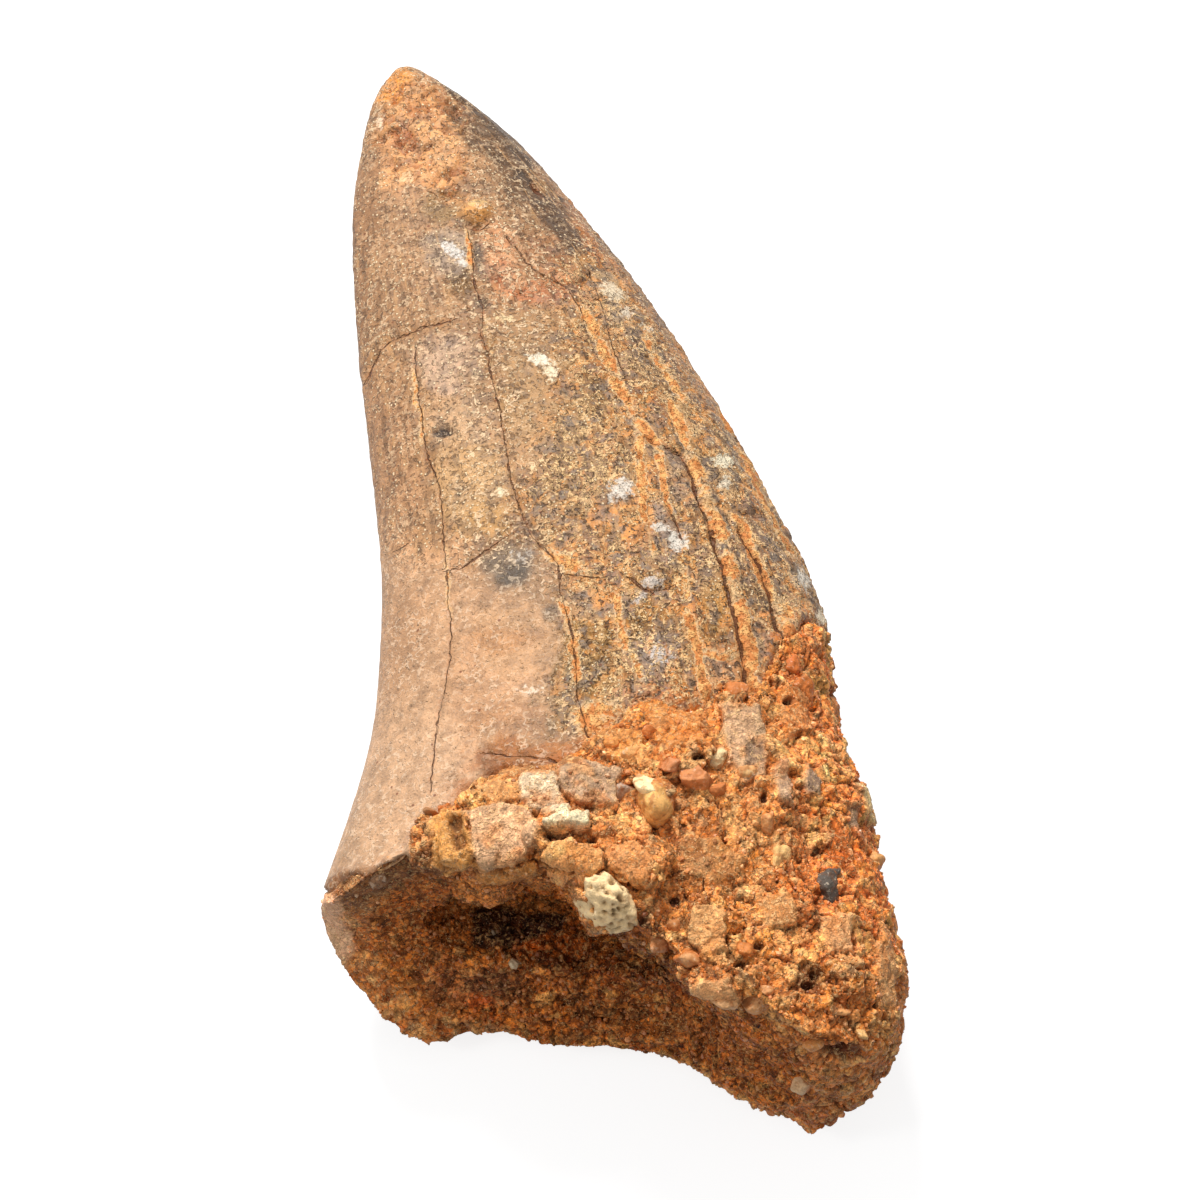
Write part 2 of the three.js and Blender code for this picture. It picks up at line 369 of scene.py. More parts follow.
def add_piece(name, points, faces, material, colours=None, values=None, smooth=True):
    """Makes a piece of the visual model from points in the plan, with its painted colours and values."""
    mesh = bpy.data.meshes.new(name)
    mesh.from_pydata(((points - PLAN_SHIFT) * MM).tolist(), [], [list(map(int, face)) for face in faces])
    mesh.polygons.foreach_set("use_smooth", np.full(len(mesh.polygons), smooth))
    for key, rows in (colours or {}).items():
        rows = np.concatenate([rows, np.ones((len(rows), 1))], axis=1).astype(np.float32)
        mesh.attributes.new(key, "FLOAT_COLOR", "POINT").data.foreach_set("color", rows.ravel())
    for key, row in (values or {}).items():
        mesh.attributes.new(key, "FLOAT", "POINT").data.foreach_set("value", row.astype(np.float32))
    mesh.materials.append(material)
    piece = placed(name, mesh)
    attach(piece, "root")
    return piece


# Marks placed by their pixels in the photograph.


class Marks:
    """Masks and distances on the points of a skin, from places in the photograph."""

    def __init__(self, points, place):
        self.place = place
        self.wobble = np.stack([rough(points, 1.3, 31), rough(points, 0.5, 41)], axis=1)

    def ragged(self, amount):
        """An uneven offset, up to about the amount."""
        return amount * (0.7 * self.wobble[:, 0] + 0.5 * self.wobble[:, 1])

    def spot(self, x, y, wide, tall, turn, soft, rag):
        """A roundish patch with half sizes in pixels, turned by degrees, with a soft and ragged edge."""
        c, s = math.cos(math.radians(turn)), math.sin(math.radians(turn))
        dx, dy = self.place[:, 0] - x, self.place[:, 1] - y
        r = np.hypot((c * dx + s * dy) / wide, (c * dy - s * dx) / tall)
        return 1 - ramp(r + self.ragged(rag), 1 - soft, 1 + soft)

    def area(self, outline, soft, rag):
        """A patch inside an outline of pixels, with an edge that many pixels soft and ragged."""
        outline = np.array(outline, float)
        x, y = self.place.T
        inside = np.zeros(len(x), bool)
        nearest = np.full(len(x), 1e9)
        for (x0, y0), (x1, y1) in zip(outline, np.roll(outline, -1, axis=0)):
            nearest = np.minimum(nearest, self.from_line(x0, y0, x1, y1)[0])
            if y0 != y1:
                crosses = (y0 > y) != (y1 > y)
                inside ^= crosses & (x < (x1 - x0) * (y - y0) / (y1 - y0) + x0)
        depth = np.where(inside, nearest, -nearest)
        return ramp(depth + self.ragged(rag), -soft, soft)

    def from_line(self, x0, y0, x1, y1):
        """Distance from a stretch of line, share along it, and which side."""
        dx, dy = x1 - x0, y1 - y0
        px, py = self.place[:, 0] - x0, self.place[:, 1] - y0
        along = np.clip((px * dx + py * dy) / (dx * dx + dy * dy), 0, 1)
        side = np.where(px * dy - py * dx > 0, 1.0, -1.0)
        return np.hypot(px - along * dx, py - along * dy), along, side

    def crack(self, line):
        """Distance from a line of pixels with the side as its sign, and how far along it from either end."""
        nearest = np.full(len(self.place), 1e9)
        signed = nearest.copy()
        travelled = np.zeros(len(nearest))
        length = 0.0
        for (x0, y0), (x1, y1) in zip(line, line[1:]):
            distance, along, side = self.from_line(x0, y0, x1, y1)
            stretch = math.hypot(x1 - x0, y1 - y0)
            nearer = distance < nearest
            nearest = np.where(nearer, distance, nearest)
            signed = np.where(nearer, distance * side, signed)
            travelled = np.where(nearer, length + along * stretch, travelled)
            length += stretch
        return signed, np.minimum(travelled, length - travelled)


# Cracks of the crown: a line of pixels, and how open it is from 0 to 1.
CRACKS = [
    ([(414, 338), (417, 376), (422, 428), (430, 461), (440, 491), (445, 555), (447, 593), (451, 627),
      (450, 658), (445, 686), (437, 721), (434, 759), (430, 798)], 0.4),
    ([(467, 226), (473, 251), (475, 289), (483, 308), (481, 333), (488, 356), (496, 394), (501, 422),
      (506, 453), (511, 484), (521, 512), (529, 530), (541, 545), (557, 562), (561, 596), (571, 627),
      (575, 654), (577, 692), (586, 730), (590, 757)], 0.6),
    ([(358, 392), (366, 382), (372, 366), (381, 348), (393, 339), (410, 333), (425, 326), (442, 322),
      (462, 318)], 0.65),
    ([(445, 571), (460, 568), (475, 557), (493, 545), (506, 537), (519, 528)], 0.6),
    ([(387, 556), (400, 549), (414, 538)], 0.3),
    ([(661, 446), (682, 455), (692, 476), (700, 501), (709, 522), (719, 551), (726, 578), (732, 603),
      (738, 626), (742, 649), (745, 677), (747, 706)], 1.0),
    ([(735, 520), (750, 548), (761, 568), (769, 591), (773, 610), (777, 628), (789, 640)], 1.0),
    ([(640, 436), (650, 441), (662, 448), (681, 453)], 0.8),
    ([(664, 500), (675, 519), (681, 534), (684, 548)], 0.8),
    ([(733, 515), (748, 513), (757, 517), (770, 515)], 0.7),
    ([(560, 573), (579, 576), (598, 579), (612, 575)], 0.4),
    ([(623, 574), (637, 582), (644, 589), (653, 591), (667, 587), (678, 583)], 0.7),
    ([(504, 230), (511, 243), (523, 257), (536, 272), (555, 278), (567, 287), (580, 306), (590, 330)], 0.4),
    ([(586, 260), (600, 300), (614, 350), (632, 392)], 0.3),
    ([(479, 751), (510, 756), (545, 757), (589, 760)], 0.5),
    ([(527, 176), (537, 190), (547, 199)], 1.0),
    ([(425, 191), (434, 193), (440, 201)], 0.6),
    ([(462, 224), (478, 227), (491, 221)], 0.9),
]

# Veins of rust-coloured clay: a line of pixels, half its width in pixels and its strength.
VEINS = [
    ([(690, 455), (699, 476), (706, 499), (715, 522), (723, 541), (729, 562), (735, 588), (741, 610),
      (746, 640), (750, 668), (753, 700)], 8.5, 1.0),
    ([(730, 507), (742, 524), (749, 542), (758, 566), (765, 584), (771, 601)], 5.5, 0.95),
    ([(559, 280), (574, 297), (588, 314), (597, 337), (608, 362), (620, 390), (640, 420), (658, 450)], 6.5,
      0.8),
    ([(668, 396), (676, 415), (684, 434), (690, 452)], 5.0, 0.9),
    ([(640, 432), (640, 462), (644, 503), (647, 528), (655, 556)], 4.5, 0.75),
    ([(659, 450), (661, 476), (667, 501), (675, 519)], 4.0, 0.8),
    ([(682, 556), (684, 580), (687, 612), (692, 630), (697, 650), (703, 680), (706, 704)], 5.0, 0.85),
    ([(606, 584), (617, 599), (621, 620), (626, 645), (637, 664), (646, 690)], 4.5, 0.7),
    ([(541, 545), (556, 558), (572, 566), (592, 574)], 8.0, 0.7),
    ([(560, 596), (571, 627), (575, 654), (578, 692)], 6.0, 0.55),
    ([(411, 336), (414, 376), (419, 420), (424, 450)], 3.0, 0.4),
    ([(446, 520), (446, 590), (452, 620)], 4.0, 0.3),
    ([(700, 372), (716, 400), (736, 440), (756, 480), (776, 520), (794, 556)], 4.0, 0.6),
    ([(734, 420), (752, 452), (770, 488), (788, 522)], 4.0, 0.8),
    ([(640, 330), (654, 352), (672, 380), (690, 410)], 4.0, 0.5),
    ([(466, 226), (469, 246), (472, 270)], 4.0, 0.7),
    ([(483, 310), (490, 352), (497, 394)], 3.5, 0.4),
    ([(780, 606), (790, 626), (802, 650), (806, 690)], 11.0, 0.9),
    ([(697, 650), (722, 656), (744, 650)], 5.0, 0.5),
]

# Where the crown's kinds of surface lie, as outlines of pixels.
DENTINE_AREA = [
    (300, 560), (388, 556), (446, 570), (520, 552), (556, 575), (566, 640), (540, 700), (586, 745),
    (560, 800), (440, 860), (280, 930),
]
SHOULDER_AREA = [
    (340, 110), (372, 150), (440, 220), (462, 318), (412, 335), (420, 440), (446, 560), (370, 560),
    (340, 380),
]
RIGHT_AREA = [
    (560, 250), (600, 240), (830, 560), (850, 740), (560, 730), (560, 570), (520, 500), (560, 380),
]
TIP_AREA = [
    (376, 120), (392, 76), (425, 82), (462, 104), (470, 150), (468, 205), (430, 195), (388, 176),
]
PEACH_AREA = [
    (482, 228), (520, 226), (560, 250), (590, 290), (598, 322), (560, 306), (520, 308), (488, 290),
]
DARK_BAND = [
    (442, 90), (468, 110), (492, 136), (512, 160), (534, 188), (562, 222), (590, 262),
]

# Single marks of the crown: pixel place, half sizes in pixels, turn in degrees.
KNOB = (475, 212, 15, 9, -6)
KNOB_CREASE = (476, 226, 15, 3, -4)
CHIP = (444, 432, 12, 5, -8)

# Patches of the crown: pixel place, half sizes in pixels, turn in degrees, colour, strength.
CROWN_PATCHES = [
    (400, 225, 62, 110, 0, (184, 148, 116), 0.7),
    (386, 470, 36, 95, -6, (182, 142, 110), 0.7),
    (365, 250, 14, 140, 6, (166, 128, 96), 0.5),
    (440, 640, 118, 92, 0, (214, 170, 134), 0.85),
    (400, 790, 120, 100, 20, DENTINE, 0.95),
    (372, 640, 60, 100, 6, (216, 174, 140), 0.7),
    (400, 640, 26, 60, 10, (204, 156, 118), 0.4),
    (500, 690, 60, 60, 0, (216, 168, 130), 0.6),
    (520, 640, 44, 40, 20, (212, 168, 128), 0.5),
    (540, 740, 54, 18, 0, (200, 152, 112), 0.5),
    (400, 86, 22, 22, 0, TIP_ORANGE, 0.95),
    (424, 140, 44, 56, 10, (226, 175, 132), 0.9),
    (420, 152, 30, 40, 0, (234, 188, 148), 0.6),
    (406, 138, 14, 14, 0, (160, 98, 58), 0.7),
    (448, 198, 12, 9, 30, (158, 92, 54), 0.7),
    (392, 180, 12, 12, 0, (236, 184, 136), 0.7),
    (478, 134, 46, 18, 40, (118, 92, 68), 0.85),
    (524, 186, 56, 20, 50, (130, 102, 76), 0.8),
    (470, 104, 40, 9, 40, (84, 66, 48), 0.85),
    (508, 142, 44, 10, 48, (92, 72, 52), 0.8),
    (548, 196, 34, 8, 54, (96, 74, 54), 0.7),
    (566, 236, 50, 18, 56, (136, 104, 76), 0.6),
    (600, 250, 60, 8, 57, (190, 132, 86), 0.7),
    (505, 100, 60, 6, 40, (206, 152, 104), 0.6),
    (442, 205, 20, 18, 0, (134, 112, 66), 0.5),
    (461, 282, 13, 16, 0, (120, 88, 38), 0.9),
    (450, 252, 22, 20, 20, (178, 158, 142), 0.85),
    (480, 258, 8, 16, -10, SLATE, 0.8),
    (481, 302, 7, 7, 0, SLATE, 0.7),
    (500, 262, 16, 40, -6, (218, 166, 126), 0.75),
    (500, 270, 12, 12, 0, (186, 108, 66), 0.5),
    (532, 294, 30, 12, 6, (206, 142, 102), 0.7),
    (556, 262, 34, 20, 40, (208, 158, 120), 0.6),
    (570, 292, 26, 12, 50, (206, 128, 80), 0.5),
    (608, 300, 22, 32, -30, (214, 186, 150), 0.8),
    (534, 330, 44, 20, 0, (176, 140, 100), 0.6),
    (450, 366, 34, 26, 0, (202, 174, 154), 0.8),
    (474, 376, 12, 44, 0, (152, 120, 88), 0.5),
    (455, 425, 32, 22, 0, (206, 172, 140), 0.75),
    (486, 352, 10, 22, 0, (146, 108, 60), 0.6),
    (470, 480, 32, 44, 0, (206, 170, 128), 0.7),
    (485, 520, 34, 18, -30, (196, 156, 104), 0.6),
    (508, 562, 28, 24, 10, GREY, 0.85),
    (516, 574, 14, 12, 0, SLATE, 0.6),
    (540, 400, 40, 60, -10, (180, 146, 106), 0.7),
    (590, 440, 40, 60, -14, (158, 128, 96), 0.75),
    (604, 480, 30, 30, 0, (150, 124, 104), 0.6),
    (570, 500, 34, 24, 0, (150, 122, 92), 0.6),
    (600, 400, 26, 34, 0, (150, 116, 72), 0.6),
    (592, 547, 17, 17, 0, (146, 114, 92), 0.8),
    (572, 548, 8, 14, 10, (206, 150, 94), 0.6),
    (640, 380, 24, 40, -24, (166, 130, 94), 0.6),
    (655, 420, 12, 24, -20, (140, 104, 64), 0.6),
    (680, 480, 15, 34, -20, LILAC, 0.85),
    (664, 536, 12, 32, -8, (160, 140, 132), 0.85),
    (640, 555, 20, 16, 0, (164, 134, 108), 0.6),
    (731, 540, 11, 22, -22, GREY, 0.9),
    (742, 574, 11, 12, 0, (140, 118, 104), 0.9),
    (766, 540, 13, 26, -26, (136, 116, 104), 0.85),
    (790, 606, 10, 26, -24, (160, 138, 118), 0.7),
    (798, 576, 9, 12, -20, (208, 192, 172), 0.8),
    (818, 628, 8, 24, -18, (150, 108, 44), 0.9),
    (798, 558, 8, 10, 0, OCHRE, 0.7),
    (756, 632, 13, 22, -10, (150, 132, 122), 0.8),
    (772, 672, 13, 22, -6, (158, 124, 94), 0.8),
    (716, 600, 14, 22, 0, (196, 152, 92), 0.8),
    (714, 632, 17, 10, 0, OLIVE, 0.9),
    (720, 668, 17, 26, 0, (196, 150, 112), 0.8),
    (690, 560, 14, 16, 0, (204, 152, 96), 0.7),
    (642, 620, 22, 20, -20, (142, 104, 44), 0.95),
    (632, 600, 18, 10, -30, LILAC, 0.8),
    (655, 652, 24, 22, 0, (160, 142, 134), 0.95),
    (636, 700, 40, 14, 0, (160, 142, 132), 0.8),
    (584, 600, 24, 20, 0, (186, 146, 106), 0.7),
    (588, 640, 24, 24, 0, (142, 110, 58), 0.85),
    (600, 684, 16, 22, 0, (140, 112, 66), 0.7),
    (558, 706, 22, 26, -20, (148, 122, 88), 0.75),
    (551, 613, 9, 8, 0, GREY, 0.7),
    (686, 684, 12, 18, 0, (164, 116, 50), 0.8),
    (740, 380, 26, 80, -28, (148, 114, 82), 0.7),
    (728, 470, 14, 30, -20, (134, 110, 88), 0.7),
    (700, 400, 14, 30, -26, (166, 124, 86), 0.6),
    (770, 480, 8, 60, -30, (190, 136, 88), 0.6),
    (690, 330, 10, 60, -34, (184, 138, 98), 0.6),
    (640, 270, 8, 40, -38, (186, 138, 98), 0.6),
    (444, 432, 13, 5, -8, (64, 52, 46), 0.9),
    (475, 213, 17, 11, -6, (238, 180, 112), 1.0),
    # A pale top on the knob, a painted highlight, and a dark line in the crease under it, a painted shadow.
    (477, 207, 10, 4, -6, (252, 216, 158), 0.9),
    (476, 227, 14, 2, -4, (96, 54, 28), 0.7),
    (535, 752, 66, 13, 0, (182, 122, 70), 0.85),
    (490, 760, 16, 12, 0, (150, 98, 58), 0.7),
    (536, 700, 24, 22, 0, (196, 156, 122), 0.6),
    (566, 676, 14, 30, 0, (138, 112, 74), 0.8),
    (505, 642, 36, 10, -10, (196, 142, 96), 0.5),
    (500, 716, 40, 12, 0, (202, 150, 108), 0.5),
    (520, 172, 8, 6, 45, (60, 46, 34), 0.8),
    (532, 184, 6, 8, 30, (66, 50, 36), 0.8),
]

# White and cream flecks: pixel place, half sizes in pixels, turn, colour, strength.
FLECKS = [
    (452, 250, 13, 6, 34, (224, 214, 202), 1.0),
    (463, 262, 6, 4, 20, (224, 214, 200), 1.0),
    (540, 360, 13, 6, 12, (242, 230, 204), 1.0),
    (551, 372, 7, 11, 0, (242, 222, 186), 0.9),
    (621, 488, 12, 11, 0, (226, 214, 198), 1.0),
    (612, 496, 6, 10, 0, (214, 202, 186), 0.7),
    (661, 527, 11, 5, 10, (222, 210, 194), 1.0),
    (679, 541, 9, 11, -20, (222, 212, 196), 1.0),
    (724, 460, 11, 7, 5, (240, 226, 194), 1.0),
    (725, 483, 7, 8, 30, (226, 210, 182), 0.9),
    (614, 292, 13, 9, 20, (236, 214, 180), 0.9),
    (626, 312, 8, 6, 30, (232, 212, 184), 0.8),
    (648, 328, 8, 4, 40, (232, 212, 184), 0.7),
    (500, 492, 7, 6, 0, (240, 220, 180), 0.8),
    (506, 318, 12, 4, 0, (238, 206, 156), 0.8),
    (804, 580, 7, 12, -20, (226, 214, 196), 0.8),
    (823, 616, 4, 10, -18, (238, 220, 190), 0.9),
    (652, 583, 13, 6, -20, (212, 198, 184), 0.9),
    (640, 598, 11, 5, -35, (206, 190, 176), 0.8),
    (660, 654, 14, 10, 20, (214, 204, 196), 0.7),
    (530, 690, 16, 7, 0, (238, 212, 184), 0.6),
    (405, 176, 10, 7, 0, (242, 196, 148), 0.8),
    (379, 122, 4, 10, 8, (238, 206, 172), 0.7),
    (742, 616, 12, 4, 20, (214, 200, 190), 0.7),
    (520, 556, 20, 9, -20, (212, 198, 182), 0.45),
]

# The relief and colours of the crust: an outline of pixels, rise in mm, colour, strength of the colour. The
# dark colours of the sunk ones are painted shade.
CRUST_PLATES = [
    ([(465, 812), (492, 803), (520, 806), (540, 824), (538, 842), (520, 862), (480, 874), (472, 848)], 0.5,
      (222, 178, 146), 0.9),
    ([(428, 822), (446, 808), (470, 818), (474, 866), (452, 874), (434, 866)], 0.45, (220, 156, 88), 0.85),
    ([(448, 822), (462, 818), (468, 846), (456, 852)], -0.5, (104, 62, 30), 0.8),
    ([(469, 858), (500, 876), (536, 860), (540, 876), (512, 890), (476, 888)], 0.1, (206, 138, 72), 0.8),
    ([(520, 772), (556, 772), (560, 790), (570, 812), (545, 818), (520, 800)], 0.35, (224, 200, 178), 0.9),
    ([(556, 764), (590, 758), (620, 770), (616, 802), (580, 804), (562, 792)], 0.4, (176, 150, 132), 0.8),
    ([(543, 820), (562, 812), (586, 818), (588, 826), (566, 830), (545, 828)], 0.8, (242, 226, 198), 0.95),
    ([(545, 829), (574, 829), (566, 842), (548, 841)], -0.6, (92, 50, 22), 0.8),
    ([(542, 857), (545, 842), (572, 838), (603, 853), (605, 868), (586, 884), (568, 882), (549, 870)], 0.75,
      (250, 174, 112), 0.9),
    ([(606, 844), (634, 840), (654, 860), (648, 896), (626, 880), (606, 866)], 0.5, (214, 142, 88), 0.8),
    ([(476, 752), (520, 752), (588, 760), (556, 772), (510, 778), (480, 766)], 0.1, (172, 112, 64), 0.8),
    ([(474, 786), (516, 776), (520, 800), (490, 802)], 0.15, (214, 152, 98), 0.8),
    ([(694, 908), (716, 902), (728, 916), (724, 948), (702, 956), (686, 938)], 0.55, (220, 160, 108), 0.85),
    ([(678, 836), (720, 838), (748, 860), (720, 884), (684, 872)], 0.15, (178, 118, 70), 0.7),
    ([(720, 704), (758, 704), (766, 744), (764, 778), (744, 782), (730, 762)], 0.3, (196, 160, 134), 0.85),
    ([(744, 746), (762, 744), (762, 762), (748, 764)], 0.05, (122, 106, 96), 0.7),
    ([(772, 770), (788, 756), (790, 784), (796, 804), (780, 800)], 0.35, (176, 150, 134), 0.8),
    ([(802, 784), (808, 765), (820, 782), (820, 798), (806, 794)], 0.3, (142, 122, 112), 0.85),
    ([(846, 808), (856, 806), (860, 824), (852, 826)], 0.1, (150, 140, 128), 0.7),
    ([(856, 782), (870, 790), (877, 822), (866, 816)], 0.2, (240, 214, 164), 0.8),
    ([(820, 918), (850, 914), (852, 950), (826, 956)], 0.3, (228, 172, 126), 0.75),
    ([(688, 984), (730, 976), (744, 1010), (704, 1022)], 0.45, (222, 168, 122), 0.7),
    ([(806, 958), (824, 962), (822, 994), (790, 988)], -0.5, (96, 54, 30), 0.7),
    ([(818, 1052), (860, 1048), (866, 1060), (830, 1064)], -0.4, (88, 44, 18), 0.7),
    ([(754, 898), (790, 890), (800, 920), (770, 930)], 0.2, (206, 136, 78), 0.6),
    ([(780, 690), (806, 680), (812, 720), (790, 740)], 0.1, (196, 112, 52), 0.6),
    ([(640, 704), (700, 712), (704, 740), (664, 746)], 0.05, (212, 130, 62), 0.6),
    ([(596, 728), (640, 730), (650, 762), (610, 756)], 0.05, (224, 146, 76), 0.6),
    ([(880, 900), (896, 950), (898, 1010), (880, 1000)], 0.1, (202, 150, 104), 0.5),
]

# Shades of the broken face, which lies away from the light: an outline of pixels, colour, strength.
BREAK_SHADES = [
    ([(330, 870), (450, 866), (470, 900), (470, 1010), (400, 1010), (340, 950)], (120, 74, 38), 0.5),
    ([(320, 888), (352, 866), (400, 858), (434, 862), (438, 880), (400, 880), (356, 890), (334, 916)],
      (176, 126, 84), 0.8),
    ([(450, 872), (560, 872), (604, 896), (588, 914), (530, 912), (460, 904)], (190, 138, 94), 0.85),
    # The dark band under the overhanging lumps is a painted shadow.
    ([(560, 930), (640, 960), (700, 985), (690, 1005), (600, 985), (540, 960)], (124, 66, 22), 0.7),
    ([(420, 968), (500, 966), (530, 1000), (470, 1014), (420, 1000)], (126, 88, 74), 0.6),
    ([(505, 940), (545, 938), (550, 956), (515, 962)], (150, 76, 26), 0.7),
    ([(560, 1000), (700, 1010), (780, 1060), (700, 1040), (600, 1030)], (146, 98, 58), 0.5),
]
# The worn rim of pale dentine at the left end of the break: its own pale colour, made brighter by painted
# light.
PALE_EDGE = [
    (306, 890), (328, 892), (341, 906), (347, 926), (351, 946), (350, 964), (336, 962), (306, 930),
]
# Where the smooth tooth ends and the sand begins: pixels across and down.
RIM_LINE = ([300, 345, 440], [908, 873, 857])
# Patches of the broken face: pixel place, half sizes in pixels, turn, colour, strength.
FACE_PATCHES = [
    (376, 982, 24, 24, 0, (204, 138, 72), 0.8),
    (356, 966, 13, 12, 0, (232, 202, 150), 0.9),
    (392, 1002, 12, 16, 0, (216, 150, 88), 0.8),
    (350, 936, 14, 16, 0, (196, 150, 104), 0.6),
    (478, 1003, 16, 7, 0, (212, 118, 62), 0.7),
    (462, 996, 12, 10, 0, (180, 136, 112), 0.6),
    (488, 984, 22, 14, 0, (132, 92, 78), 0.6),
    (530, 942, 16, 10, 0, (204, 112, 36), 0.8),
    (566, 934, 26, 16, 0, (158, 88, 30), 0.8),
    (606, 950, 24, 12, 0, (132, 76, 28), 0.6),
    (420, 930, 40, 22, 0, (134, 84, 42), 0.5),
    (376, 902, 36, 20, 0, (150, 98, 56), 0.6),
    (600, 1010, 40, 18, 0, (128, 82, 46), 0.5),
    (700, 1030, 40, 16, 20, (150, 98, 58), 0.5),
    (760, 1060, 30, 16, 20, (170, 112, 66), 0.5),
    (560, 1030, 60, 12, 0, (136, 86, 46), 0.5),
]
# Holes of the crust: pixel place and half sizes in pixels. They are sunk, and painted dark as painted shade
# inside them.
HOLES = [
    (645, 924, 8, 10), (818, 972, 7, 6), (812, 984, 6, 5), (822, 846, 5, 4), (788, 868, 4, 3),
    (686, 962, 8, 4), (592, 838, 5, 3), (548, 836, 7, 4), (700, 756, 6, 4), (764, 796, 4, 6),
    (836, 1056, 14, 3), (856, 944, 4, 5), (760, 944, 5, 4), (742, 962, 5, 4), (676, 898, 4, 4),
    (612, 716, 7, 4), (588, 722, 6, 4), (790, 700, 5, 4),
]
# The calmer skin at the left, the sand on its rim, and the painted shade in the hollow of the root and round
# it.
SMOOTH_RIM = [
    (310, 860), (440, 850), (450, 880), (430, 940), (440, 1050), (360, 1040), (300, 960),
]
RIM_SAND = [
    (296, 880), (340, 862), (400, 852), (448, 850), (446, 884), (380, 900), (330, 930), (300, 930),
]
DEEP_PIT_SHADE = [
    (470, 912), (486, 906), (506, 906), (530, 914), (552, 910), (568, 918), (560, 930), (534, 938),
    (512, 948), (488, 950), (474, 944),
]
PIT_SHADOW = [
    (464, 900), (560, 908), (620, 928), (700, 966), (772, 1010), (760, 1022), (680, 990), (600, 968),
    (520, 962), (462, 960),
]

# Stones that stand free of the crust: pixel place, half sizes in pixels, turn, thickness in mm, colour and
# sharpness.
PEBBLES = [
    (605, 903, 34, 24, 0, 1.8, PORE_CREAM, 4),
    (655, 804, 20, 27, -20, 1.9, (230, 184, 118), 5),
    (647, 786, 15, 12, 10, 1.9, (250, 234, 192), 6),
    (624, 791, 7, 10, 0, 0.9, (176, 156, 144), 12),
    (671, 764, 12, 9, 15, 1.1, (202, 138, 98), 22),
    (690, 780, 15, 16, -30, 1.4, (208, 138, 90), 24),
    (716, 760, 13, 9, 15, 1.0, (246, 224, 180), 5),
    (747, 772, 11, 7, 10, 0.7, (226, 184, 132), 6),
    (720, 790, 9, 8, 0, 0.9, (196, 122, 70), 16),
    (830, 886, 11, 18, -12, 0.7, SLATE_STONE, 24),
    (833, 870, 6, 7, 0, 0.6, SLATE_STONE, 24),
    (781, 856, 12, 15, 20, 1.1, (234, 192, 132), 12),
    (768, 826, 7, 10, 0, 0.9, (224, 168, 116), 9),
    (657, 944, 10, 10, 0, 1.4, (206, 148, 104), 6),
    (675, 925, 10, 8, 0, 0.9, (196, 136, 88), 12),
    (688, 958, 12, 8, 0, 0.9, (204, 150, 104), 10),
    (744, 948, 9, 8, 0, 0.9, (206, 130, 70), 14),
    (800, 1084, 12, 9, 20, 1.1, (228, 196, 160), 10),
    (812, 1042, 9, 6, 0, 0.9, (222, 158, 98), 8),
    (862, 1034, 8, 6, 0, 0.8, (232, 192, 134), 12),
    (760, 1000, 15, 12, 0, 1.1, (214, 160, 112), 12),
    (726, 1004, 14, 10, 0, 1.2, (226, 178, 132), 9),
    (514, 962, 6, 6, 0, 0.8, (228, 212, 186), 20),
    (452, 671, 5, 5, 0, 0.35, (160, 118, 82), 9),
    (433, 808, 6, 5, 0, 0.6, (150, 112, 78), 9),
    (841, 1012, 14, 4, -4, 0.6, (214, 158, 106), 12),
    (808, 690, 12, 14, 0, 0.9, (200, 116, 56), 14),
    (792, 662, 9, 10, 0, 0.7, (196, 108, 50), 12),
    (878, 860, 8, 10, 0, 0.8, (226, 168, 108), 12),
    (608, 742, 9, 7, 20, 0.7, (230, 160, 92), 22),
    (632, 752, 8, 6, -20, 0.7, (226, 170, 112), 22),
    (650, 734, 8, 7, 0, 0.7, (200, 118, 60), 20),
]

# Colours of the crumbs: colour, share.
CRUMBS = [
    (RUST, 0.13), ((204, 132, 74), 0.13), (SAND, 0.18), ((176, 106, 54), 0.1), (RUST_DEEP, 0.09),
    (BROWN, 0.1), (AMBER, 0.08), ((228, 188, 142), 0.09), (CREAM, 0.04), ((150, 130, 112), 0.06),
]

# Colours of the small plates of enamel between the cracks: colour, share.
PLATES = [
    (GREY, 0.14), (LILAC, 0.12), ((150, 116, 78), 0.2), (OLIVE, 0.12), ((186, 138, 90), 0.18),
    ((206, 160, 112), 0.12), ((196, 126, 66), 0.12),
]


def picked(own, palette):
    """A colour of the palette for each random number."""
    shares = np.cumsum([share for _, share in palette])
    colours = np.array([linear(colour) for colour, _ in palette])
    return colours[np.minimum(np.searchsorted(shares / shares[-1], own), len(palette) - 1)]


def deepened(colours, gains, power):
    """Colours made a little more saturated, so that the white light and its sheen don't wash them out."""
    grey = colours.mean(axis=1, keepdims=True)
    return np.clip(grey * (colours / np.maximum(grey, 1e-6)) ** power * np.array(gains), 0, 1)


def flecks_on(marks):
    """How strongly the white and cream flecks show, and their colours."""
    fleck = np.zeros(len(marks.place))
    tint = np.tile(linear(CREAM), (len(fleck), 1))
    for px, py, wide, tall, turn, colour, strength in FLECKS:
        mask = strength * marks.spot(px, py, wide, tall, turn, 0.75, 0.15)
        tint = np.where(((mask > 0.04) & (mask > fleck))[:, None], linear(colour), tint)
        fleck = np.maximum(fleck, mask)
    return fleck, tint


def clay_on(marks, points):
    """How much rust-coloured clay lies in the veins and next to the crust."""
    x, y = marks.place.T
    clay = np.zeros(len(points))
    for line, half, strength in VEINS:
        signed, from_end = marks.crack(line)
        vein = 1 - ramp(np.abs(signed + marks.ragged(4.0)), 0.2 * half, 1.4 * half)
        clay = np.maximum(clay, 1.2 * strength * vein * ramp(from_end, -12, 20))
    clay = np.maximum(clay, 0.7 * ramp(y, 690, 712) * ramp(x, 560, 590))
    return clay * np.clip(0.75 + 1.1 * rough(points, 1.9, 25), 0.1, 1.1)


